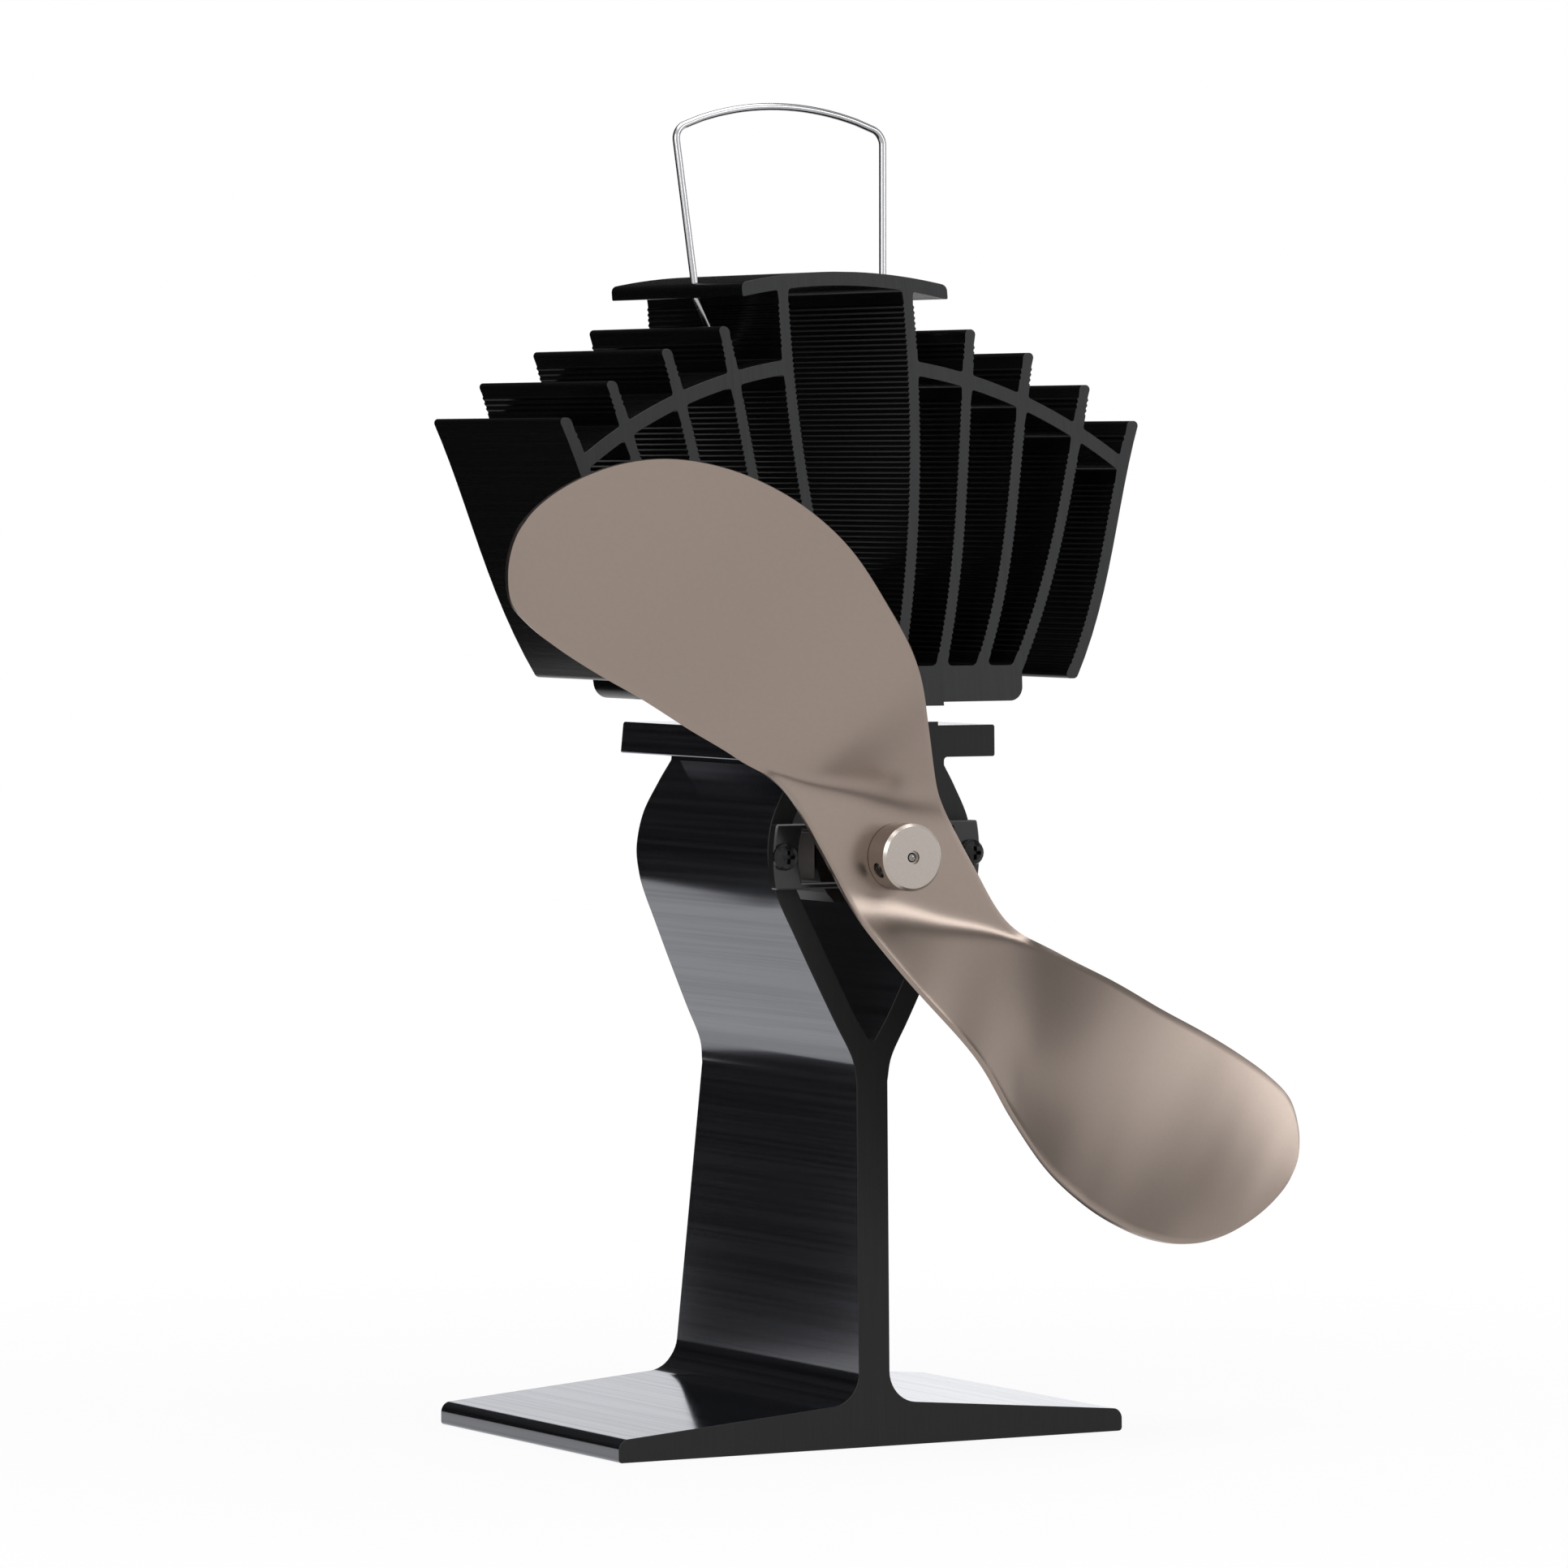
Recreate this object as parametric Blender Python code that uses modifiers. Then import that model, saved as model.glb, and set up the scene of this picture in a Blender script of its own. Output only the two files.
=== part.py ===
"""Heat-powered stove fan: an extruded stand, a finned heat sink, and a small motor with a two-lobed blade.

+Z is up and the front, where the blade turns, looks along -Y.
The origin is at the middle of the foot's underside. Lengths are in metres.
"""
import bpy
import bmesh
from math import asin, atan2, cos, pi, radians, sin, sqrt, tan
from mathutils import Matrix, Vector

MM = 0.001

# Fits shared by neighbouring pieces
GAP = 0.3 * MM
FILM = 0.1 * MM
RUNNING_CLEARANCE = 0.08 * MM
OVERRUN = 1.0 * MM

# Stand: foot, neck, arms and plate of one extrusion
FOOT_WIDTH = 93.2 * MM
FOOT_DEPTH = 61.0 * MM
FOOT_END_HEIGHT = 3.6 * MM
FOOT_ROOT_HEIGHT = 7.2 * MM
FOOT_EDGE_RADIUS = 1.7 * MM
FOOT_CORNER_RADIUS = 0.6 * MM
NECK_THICKNESS = 5.7 * MM
NECK_FILLET = 5.2 * MM
ARM_RISE = 51.6 * MM
ARM_BULGE = 18.85 * MM
ARM_THICKNESS = 3.75 * MM
ARM_CROTCH_RISE = 5.8 * MM
PLATE_UNDERSIDE = 110.1 * MM
PLATE_THICKNESS = 5.1 * MM
PLATE_WIDTH = 46.7 * MM
PLATE_FILLET = 0.8 * MM
SAW_EDGE_RADIUS = 0.4 * MM
STAND_FRONT_LEAN = 0.02
STAND_BACK_LEAN = 0.182
STAND_BACK_KINK = 9.0 * MM
# Outer side of an arm: shares of the bulge, and of the way up from the split to the plate
ARM_SHARES = ((0.152, 0.0), (0.199, 0.078), (0.366, 0.19), (0.584, 0.341), (0.761, 0.467),
              (0.875, 0.548), (0.95, 0.614), (1.0, 0.702), (0.965, 0.808), (0.84, 0.907), (0.735, 0.975))

# Thermoelectric module and the raised lands that press on it
LAND_HEIGHT = 0.6 * MM
LAND_RELIEF = 0.06 * MM
MODULE_SIZE = 25.0 * MM
MODULE_PLATE = 0.6 * MM
PELLET_HEIGHT = 1.0 * MM
PELLET_SIZE = 1.3 * MM
PELLET_ROWS = 7
PELLET_BRIDGE = 0.25 * MM
SEAL_WIDTH = 1.2 * MM

# Heat sink: block, two walls, eight fins, a web and a cap of one extrusion
AXIS_DROP = 15.3 * MM
SINK_HALF_WIDTH = 53.7 * MM
SINK_DEPTH = 42.8 * MM
SINK_BACK_SPREAD = 0.011
SINK_LEAN = 0.147
BLOCK_THICKNESS = 5.75 * MM
BLOCK_HALF_WIDTH = 27.6 * MM
BLOCK_CORNER_RADIUS = 4.6 * MM
FIN_THICKNESS = 2.0 * MM
FIN_TIP_CIRCLE = 87.1 * MM
HANGING_FIN_DROP = 2.25 * MM
WALL_THICKNESS = 2.05 * MM
WEB_THICKNESS = 2.3 * MM
WEB_RADIUS = 84.0 * MM
WEB_CROWN_RISE = 78.5 * MM
CAP_RADIUS = 93.05 * MM
CAP_THICKNESS = 2.25 * MM
CAP_WIDTH = 38.0 * MM
SINK_FILLET = 1.0 * MM
CELL_FILLET = 1.4 * MM
# Middle lines, inner wall first: shares of the half width at four shares of each one's height
LINE_HEIGHT_SHARES = (0.0, 0.2, 0.5, 1.0)
WALL_SHARES = (0.093, 0.144, 0.194, 0.214)
FIN_SHARES = ((0.239, 0.295, 0.352, 0.426),
              (0.378, 0.453, 0.526, 0.626),
              (0.508, 0.594, 0.692, 0.818),
              (0.688, 0.767, 0.852, 0.980))

# Clamp bolts, front and rear of the module
BOLT_SPREAD = 16.3 * MM
BOLT_DIAMETER = 3.0 * MM
BOLT_HEAD_DIAMETER = 5.5 * MM
BOLT_HEAD_HEIGHT = 2.4 * MM
BOLT_SOCKET = 2.5 * MM
BOLT_ENGAGEMENT = 4.2 * MM
WASHER_DIAMETER = 6.0 * MM
WASHER_THICKNESS = 0.8 * MM

# Motor: flat-sided can with its magnets, bearings, brushes and rotor
CAN_WIDTH = 20.1 * MM
CAN_HEIGHT = 15.1 * MM
CAN_LENGTH = 22.0 * MM
CAN_WALL = 0.8 * MM
END_CAP_THICKNESS = 2.8 * MM
SHAFT_DIAMETER = 1.4 * MM
BEARING_DIAMETER = 6.0 * MM
BEARING_LENGTH = 2.2 * MM
BEARING_PROUD = 1.2 * MM
REAR_BEARING_DIAMETER = 4.4 * MM
REAR_BEARING_LENGTH = 1.6 * MM
MAGNET_THICKNESS = 1.7 * MM
MAGNET_LENGTH = 14.0 * MM
MAGNET_HALF_ANGLE = radians(34)
ROTOR_DIAMETER = 13.0 * MM
ROTOR_LENGTH = 10.0 * MM
ROTOR_NECK = 1.8 * MM
ROTOR_SHOE = 1.2 * MM
ROTOR_BOSS = 4.2 * MM
ROTOR_SLOT_HALF_ANGLE = radians(11)
WINDING_WIDTH = 3.8 * MM
WINDING_OVERHANG = 0.8 * MM
COMMUTATOR_DIAMETER = 4.4 * MM
COMMUTATOR_LENGTH = 2.6 * MM
BRUSH_THICKNESS = 0.5 * MM
BRUSH_WIDTH = 2.0 * MM
BRUSH_LENGTH = 3.4 * MM
TERMINAL_SPREAD = 6.0 * MM
TERMINAL_THICKNESS = 0.5 * MM
TERMINAL_WIDTH = 2.2 * MM
TERMINAL_LENGTH = 4.0 * MM

# Bracket on the front of the arms, the cheeks behind it, and its screws
BRACKET_HALF_WIDTH = 19.05 * MM
BRACKET_HEIGHT = 10.4 * MM
BRACKET_THICKNESS = 2.0 * MM
BRACKET_END_BOW = 0.55 * MM
BRACKET_OPENING_RADIUS = 14.5 * MM
BRACKET_OPENING_HEIGHT = 8.4 * MM
CHEEK_HEIGHT = 7.3 * MM
CHEEK_LENGTH = 10.0 * MM
CHEEK_RADIUS = 14.2 * MM
SCREW_SPREAD = 17.2 * MM
SCREW_HEAD_DIAMETER = 4.3 * MM
SCREW_HEAD_HEIGHT = 1.5 * MM
SCREW_DIAMETER = 1.8 * MM
SCREW_DEPTH = 6.0 * MM
SCREW_CROSS_WIDTH = 0.6 * MM
SCREW_CROSS_LENGTH = 2.2 * MM
SCREW_CROSS_DEPTH = 0.9 * MM

# Hub, set screw, blade and the collar behind it
HUB_FRONT = 42.07 * MM
HUB_DIAMETER = 10.74 * MM
HUB_LENGTH = 5.06 * MM
HUB_CHAMFER = 0.45 * MM
HUB_SPIGOT_DIAMETER = 5.0 * MM
SET_SCREW_DIAMETER = 2.0 * MM
SET_SCREW_SOCKET = 1.0 * MM
SET_SCREW_ANGLE = radians(203)
SHAFT_RECESS = 0.25 * MM
COLLAR_THICKNESS = 1.5 * MM
COLLAR_DIAMETER = 10.4 * MM
BLADE_RADIUS = 88.4 * MM
BLADE_THICKNESS = 1.0 * MM
BLADE_FOLD_SOFTNESS = 1.6 * MM
BLADE_FOLD_ANGLE = radians(25)
BLADE_TURN = radians(37)
# A lobe at equal steps of the angle whose sine is the share of the span. The edges and the forward
# sweep are shares of the radius, and the twist is the sheet's slope across the lobe. The sheet is
# flat where the twist outweighs the sweep, and folded where they are equal
BLADE_LOWER_SHARES = (-0.136, -0.192, -0.241, -0.288, -0.32, -0.3247, -0.31, -0.281, -0.2388, -0.183,
                      -0.1192, -0.0566, 0.0)
BLADE_UPPER_SHARES = (0.136, 0.0837, 0.0408, 0.0548, 0.077, 0.0932, 0.1114, 0.1231, 0.1269, 0.1184,
                      0.0845, 0.0427, 0.0)
BLADE_TWIST_SHARES = (0.556, 0.69, 0.65, 0.522, 0.412, 0.354, 0.322, 0.278, 0.222, 0.195, 0.176, 0.168,
                      0.166)
BLADE_SWEEP_SHARES = (-0.0962, -0.0366, 0.0248, 0.0391, 0.0577, 0.0691, 0.0744, 0.0752, 0.0756, 0.0762,
                      0.0772, 0.078, 0.0782)

# Carrying handle of bent wire
WIRE_DIAMETER = 1.2 * MM
HANDLE_HOLE_SPREAD = 17.4 * MM
HANDLE_HOLE_Y = -2.0 * MM
HANDLE_SHOULDER = 19.4 * MM
HANDLE_HEADROOM = 27.15 * MM
HANDLE_ARCH_RISE = 4.0 * MM
HANDLE_LEAN = 0.131
HANDLE_BEND = 2.6 * MM
HANDLE_FOOT_BEND = 1.3 * MM
HANDLE_HOOK_RISE = 80.8 * MM
HANDLE_HOOK_REACH = 1.6 * MM
HANDLE_HOOK_OUT = 13.9 * MM

# Leads from the module to the motor
LEAD_DIAMETER = 1.2 * MM
LEAD_SPREAD = 3.2 * MM

# Overheat strip in a pocket of the foot's underside
STRIP_LENGTH = 42.0 * MM
STRIP_WIDTH = 9.0 * MM
STRIP_THICKNESS = 0.8 * MM
STRIP_FLOOR_CLEARANCE = 0.4 * MM
STRIP_Y = -20.0 * MM
STRIP_SIDE_CLEARANCE = 0.8 * MM
RIVET_DIAMETER = 3.0 * MM
RIVET_HEAD_DIAMETER = 5.0 * MM
RIVET_INSET = 4.5 * MM
RIVET_DEPTH = 3.0 * MM
RIVET_HEAD_HEIGHT = 0.3 * MM

# Places worked out from the sizes above
FRONT_FACE = -FOOT_DEPTH / 2
ARM_SPLIT_HEIGHT = PLATE_UNDERSIDE - ARM_RISE
ARM_CROTCH_HEIGHT = ARM_SPLIT_HEIGHT + ARM_CROTCH_RISE
AXIS_HEIGHT = PLATE_UNDERSIDE - AXIS_DROP
PLATE_TOP = PLATE_UNDERSIDE + PLATE_THICKNESS
HOT_PLATE_HEIGHT = PLATE_TOP + LAND_HEIGHT + FILM
PELLET_FLOOR = HOT_PLATE_HEIGHT + MODULE_PLATE + FILM
COLD_PLATE_HEIGHT = PELLET_FLOOR + PELLET_HEIGHT + FILM
SINK_LAND = COLD_PLATE_HEIGHT + MODULE_PLATE + FILM
BLOCK_UNDERSIDE = SINK_LAND + LAND_HEIGHT
BLOCK_TOP = BLOCK_UNDERSIDE + BLOCK_THICKNESS
LAND_HALF_WIDTH = MODULE_SIZE / 2 + GAP
HANGING_FIN_HEIGHT = BLOCK_TOP - HANGING_FIN_DROP
WEB_CROWN_HEIGHT = AXIS_HEIGHT + WEB_CROWN_RISE
HANDLE_HOOK_HEIGHT = AXIS_HEIGHT + HANDLE_HOOK_RISE


def stand_front(height):
    """Y of the stand's sawn front face at a height."""
    return FRONT_FACE + STAND_FRONT_LEAN * height


def stand_back(height):
    """Y of the stand's sawn back face at a height: upright at the foot, then leaning forward."""
    return FOOT_DEPTH / 2 - STAND_BACK_LEAN * max(0, height - STAND_BACK_KINK)


MODULE_Y = (stand_front(PLATE_TOP) + stand_back(PLATE_TOP)) / 2
SINK_FRONT_AT_BLOCK = MODULE_Y - SINK_DEPTH / 2


def sink_front(height):
    """Y of the heat sink's sawn front face, which leans back as it rises."""
    return SINK_FRONT_AT_BLOCK + SINK_LEAN * (height - BLOCK_UNDERSIDE)


def sink_back(height):
    """Y of the heat sink's sawn back face."""
    return sink_front(height) + SINK_DEPTH + SINK_BACK_SPREAD * (height - BLOCK_UNDERSIDE)


BRACKET_BACK = stand_front(AXIS_HEIGHT) - GAP
BRACKET_FRONT = BRACKET_BACK - BRACKET_THICKNESS
CAN_FRONT = BRACKET_BACK + GAP
CAN_BACK = CAN_FRONT + CAN_LENGTH
END_CAP_BACK = CAN_BACK + GAP + END_CAP_THICKNESS
HUB_SEAT = -HUB_FRONT + HUB_LENGTH
BLADE_MIDDLE = HUB_SEAT + FILM + BLADE_THICKNESS / 2
COLLAR_FRONT = BLADE_MIDDLE + BLADE_THICKNESS / 2 + FILM
COLLAR_BACK = COLLAR_FRONT + COLLAR_THICKNESS
ROTOR_MIDDLE = CAN_FRONT + CAN_WALL + BEARING_LENGTH + ROTOR_LENGTH / 2
SHAFT_RADIUS = SHAFT_DIAMETER / 2
BORE_RADIUS = SHAFT_RADIUS + RUNNING_CLEARANCE

FRONTWARDS = (pi / 2, 0, 0)
CORNER_STEPS = 5
ROUND_SIDES = 32


def start_afresh():
    """Empty the scene and make the collections for the pieces and for the cutters."""
    for item in list(bpy.data.objects):
        bpy.data.objects.remove(item)
    made = []
    for name in ("stove_fan", "cutters"):
        collection = bpy.data.collections.new(name)
        bpy.context.scene.collection.children.link(collection)
        made.append(collection)
    return made


PIECES, CUTTERS = start_afresh()


def finish_material(name, colour, roughness, metallic):
    """A Principled material of one plain finish."""
    material = bpy.data.materials.new(name)
    material.use_nodes = True
    shader = material.node_tree.nodes["Principled BSDF"]
    shader.inputs["Base Color"].default_value = (*colour, 1)
    shader.inputs["Roughness"].default_value = roughness
    shader.inputs["Metallic"].default_value = metallic
    return material


ANODISED = finish_material("black_anodised_aluminium", (0.02, 0.02, 0.021), 0.42, 0.5)
BLACK_PLASTIC = finish_material("black_plastic", (0.02, 0.02, 0.02), 0.35, 0.0)
BLADE_METAL = finish_material("satin_nickel", (0.42, 0.37, 0.34), 0.36, 1.0)
HUB_METAL = finish_material("turned_nickel", (0.55, 0.51, 0.48), 0.25, 1.0)
BRIGHT_WIRE = finish_material("bright_wire", (0.75, 0.76, 0.78), 0.15, 1.0)
BLACK_STEEL = finish_material("black_steel", (0.05, 0.05, 0.05), 0.35, 0.9)
ZINC_STEEL = finish_material("zinc_steel", (0.55, 0.56, 0.58), 0.35, 1.0)
CERAMIC = finish_material("alumina_ceramic", (0.85, 0.85, 0.82), 0.5, 0.0)
PELLET_METAL = finish_material("pellet_metal", (0.3, 0.3, 0.32), 0.4, 0.8)
SEAL_RUBBER = finish_material("silicone_seal", (0.8, 0.8, 0.78), 0.7, 0.0)
MAGNET_FERRITE = finish_material("ferrite", (0.05, 0.05, 0.055), 0.7, 0.0)
COPPER = finish_material("copper", (0.72, 0.36, 0.2), 0.35, 1.0)
BRASS = finish_material("brass", (0.7, 0.52, 0.22), 0.35, 1.0)
RED_SLEEVE = finish_material("red_lead", (0.5, 0.02, 0.02), 0.5, 0.0)
BLACK_SLEEVE = finish_material("black_lead", (0.02, 0.02, 0.02), 0.5, 0.0)


def keep(item, material):
    """Put a piece in the object's collection and give it its finish."""
    for collection in list(item.users_collection):
        collection.objects.unlink(item)
    PIECES.objects.link(item)
    item.data.materials.clear()
    item.data.materials.append(material)
    return item


def set_aside(item):
    """Make an object a cutter, which shows as a wire and isn't a piece."""
    for collection in list(item.users_collection):
        collection.objects.unlink(item)
    CUTTERS.objects.link(item)
    item.hide_render = True
    item.display_type = "WIRE"
    return item


def shape_from_bmesh(name, shape, smooth=True):
    """A new object that holds a finished bmesh."""
    mesh = bpy.data.meshes.new(name)
    bmesh.ops.recalc_face_normals(shape, faces=shape.faces)
    shape.to_mesh(mesh)
    shape.free()
    if smooth:
        mesh.shade_smooth()
        mesh.set_sharp_from_angle(angle=radians(35))
    item = bpy.data.objects.new(name, mesh)
    bpy.context.scene.collection.objects.link(item)
    return item


def boolean(item, tool, operation="DIFFERENCE"):
    """Cut a tool from an item, or join the tool to it, and put the tool aside."""
    modifier = item.modifiers.new(tool.name, "BOOLEAN")
    modifier.operation = operation
    modifier.solver = "EXACT"
    modifier.object = set_aside(tool)
    return item


def box(name, size, centre):
    """A box of three sizes about a centre."""
    shape = bmesh.new()
    bmesh.ops.create_cube(shape, size=1)
    bmesh.ops.scale(shape, vec=size, verts=shape.verts)
    item = shape_from_bmesh(name, shape, smooth=False)
    item.location = centre
    return item


def rod(name, radius, length, centre, turn=(0, 0, 0), sides=ROUND_SIDES):
    """A round bar about a centre, along Z until it is turned."""
    shape = bmesh.new()
    bmesh.ops.create_cone(shape, cap_ends=True, segments=sides, radius1=radius, radius2=radius, depth=length)
    item = shape_from_bmesh(name, shape)
    item.location = centre
    item.rotation_euler = turn
    return item


def turned(name, profile, centre, turn=(0, 0, 0), closed=False, sides=ROUND_SIDES):
    """A turned piece from a profile of (radius, height), listed down its outer side."""
    mesh = bpy.data.meshes.new(name)
    count = len(profile)
    edges = [(index, index + 1) for index in range(count - 1)]
    if closed:
        edges.append((count - 1, 0))
    mesh.from_pydata([(radius, 0, height) for radius, height in profile], edges, [])
    item = bpy.data.objects.new(name, mesh)
    bpy.context.scene.collection.objects.link(item)
    screw = item.modifiers.new("turn", "SCREW")
    screw.axis = "Z"
    screw.steps = sides
    screw.render_steps = sides
    screw.use_merge_vertices = True
    screw.merge_threshold = 0.01 * MM
    screw.use_smooth_shade = False
    item.location = centre
    item.rotation_euler = turn
    return item


def ring(name, inner_radius, outer_radius, length, centre, turn=(0, 0, 0), sides=ROUND_SIDES):
    """A plain turned ring about a centre."""
    half = length / 2
    profile = [(outer_radius, half), (outer_radius, -half), (inner_radius, -half), (inner_radius, half)]
    return turned(name, profile, centre, turn, closed=True, sides=sides)


def rounded(corners):
    """An outline through (x, z, radius) corners, each one eased by an arc of its radius."""
    outline = []
    count = len(corners)
    for index, (x, z, radius) in enumerate(corners):
        corner = Vector((x, z))
        if radius == 0:
            outline.append(corner)
            continue
        back = Vector(corners[index - 1][:2]) - corner
        ahead = Vector(corners[(index + 1) % count][:2]) - corner
        half = back.angle(ahead) / 2
        reach = min(radius / tan(half), back.length * 0.49, ahead.length * 0.49)
        easing = reach * tan(half)
        middle = (back.normalized() + ahead.normalized()).normalized()
        centre = corner + middle * (easing / sin(half))
        first = corner + back.normalized() * reach - centre
        last = corner + ahead.normalized() * reach - centre
        start = atan2(first.y, first.x)
        sweep = (atan2(last.y, last.x) - start + pi) % (2 * pi) - pi
        for step in range(CORNER_STEPS + 1):
            angle = start + sweep * step / CORNER_STEPS
            outline.append(centre + Vector((cos(angle), sin(angle))) * easing)
    return outline


def both_sides(corners):
    """A closed outline from its right half, listed from bottom to top."""
    return corners + [(-x, z, radius) for x, z, radius in reversed(corners)]


def mirrored(corners):
    """The same outline on the other side."""
    return [(-x, z, radius) for x, z, radius in reversed(corners)]


def extrusion(name, outlines, front, back):
    """A profile in XZ, the outer outline first and then its holes, drawn out along Y from front to back."""
    curve = bpy.data.curves.new(name, "CURVE")
    curve.dimensions = "2D"
    curve.fill_mode = "BOTH"
    curve.extrude = (back - front) / 2
    for outline in outlines:
        spline = curve.splines.new("POLY")
        spline.points.add(len(outline) - 1)
        for point, place in zip(spline.points, outline):
            point.co = (place[0], place[1], 0, 1)
        spline.use_cyclic_u = True
    drawn = bpy.data.objects.new(name, curve)
    bpy.context.scene.collection.objects.link(drawn)
    drawn.rotation_euler = FRONTWARDS
    drawn.location = (0, (front + back) / 2, 0)
    return solid_from_curve(drawn)


def solid_from_curve(drawn):
    """Turn a curve object into a mesh object with its caps welded on."""
    bpy.context.view_layer.update()
    evaluated = drawn.evaluated_get(bpy.context.evaluated_depsgraph_get())
    mesh = bpy.data.meshes.new_from_object(evaluated)
    shape = bmesh.new()
    shape.from_mesh(mesh)
    bmesh.ops.remove_doubles(shape, verts=shape.verts, dist=0.001 * MM)
    bmesh.ops.recalc_face_normals(shape, faces=shape.faces)
    shape.to_mesh(mesh)
    shape.free()
    mesh.shade_smooth()
    mesh.set_sharp_from_angle(angle=radians(35))
    name = drawn.name
    place = drawn.matrix_world.copy()
    bpy.data.objects.remove(drawn)
    item = bpy.data.objects.new(name, mesh)
    bpy.context.scene.collection.objects.link(item)
    item.matrix_world = place
    return item


def saw_ends(item, front_at, back_at, kink=None):
    """Move an extrusion's two ends onto sawn faces that lean, given as Y by height."""
    place = item.matrix_world.copy()
    shape = bmesh.new()
    shape.from_mesh(item.data)
    shape.transform(place)
    if kink is not None:
        geometry = shape.verts[:] + shape.edges[:] + shape.faces[:]
        bmesh.ops.bisect_plane(shape, geom=geometry, dist=0.001 * MM, plane_co=(0, 0, kink), plane_no=(0, 0, 1))
    middle = sum(vert.co.y for vert in shape.verts) / len(shape.verts)
    for vert in shape.verts:
        at_end = front_at if vert.co.y < middle else back_at
        vert.co.y = at_end(vert.co.z)
    shape.transform(place.inverted())
    shape.to_mesh(item.data)
    shape.free()
    return item


def wire(name, route, diameter, resolution):
    """A round wire along a route of points, with closed ends."""
    curve = bpy.data.curves.new(name, "CURVE")
    curve.dimensions = "3D"
    curve.bevel_depth = diameter / 2
    curve.bevel_resolution = resolution
    curve.use_fill_caps = True
    spline = curve.splines.new("POLY")
    spline.points.add(len(route) - 1)
    for point, place in zip(spline.points, route):
        point.co = (*place, 1)
    item = bpy.data.objects.new(name, curve)
    bpy.context.scene.collection.objects.link(item)
    return solid_from_curve(item)


def bent(corners, steps=6):
    """A route in space through (place, bend radius) corners, its ends left as they are."""
    route = [Vector(corners[0][0])]
    for (before, _), (corner, radius), (after, _) in zip(corners, corners[1:], corners[2:]):
        corner = Vector(corner)
        back = Vector(before) - corner
        ahead = Vector(after) - corner
        half = back.angle(ahead) / 2
        reach = min(radius / tan(half), back.length * 0.49, ahead.length * 0.49)
        easing = reach * tan(half)
        centre = corner + (back.normalized() + ahead.normalized()).normalized() * (easing / sin(half))
        first = corner + back.normalized() * reach - centre
        last = corner + ahead.normalized() * reach - centre
        turn = first.rotation_difference(last)
        axis, angle = turn.to_axis_angle()
        for step in range(steps + 1):
            route.append(centre + Matrix.Rotation(angle * step / steps, 3, axis) @ first)
    route.append(Vector(corners[-1][0]))
    return route


def smooth_between(shares, place):
    """The value of a table at a place counted in its steps, on a smooth curve through its entries."""
    index = min(max(int(place), 0), len(shares) - 2)
    part = place - index
    before = shares[index - 1] if index else 2 * shares[0] - shares[1]
    start = shares[index]
    end = shares[index + 1]
    after = shares[index + 2] if index + 2 < len(shares) else 2 * end - start
    slope_in = (end - before) / 2
    slope_out = (after - start) / 2
    rest = end - start
    return (start + slope_in * part + (3 * rest - 2 * slope_in - slope_out) * part ** 2
            + (slope_in + slope_out - 2 * rest) * part ** 3)


def arm_side(offset):
    """Points up an arm, from its outer side inwards by an offset."""
    rise = PLATE_UNDERSIDE - ARM_SPLIT_HEIGHT
    steps = 3
    across = [x for x, _ in ARM_SHARES]
    upward = [z for _, z in ARM_SHARES]
    line = []
    for index in range((len(ARM_SHARES) - 1) * steps + 1):
        place = index / steps
        line.append(Vector((smooth_between(across, place) * ARM_BULGE,
                            ARM_SPLIT_HEIGHT + smooth_between(upward, place) * rise)))
    shifted = []
    for index, point in enumerate(line):
        along = (line[min(index + 1, len(line) - 1)] - line[max(index - 1, 0)]).normalized()
        shifted.append(point + Vector((-along.y, along.x)) * offset)
    return shifted


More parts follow.
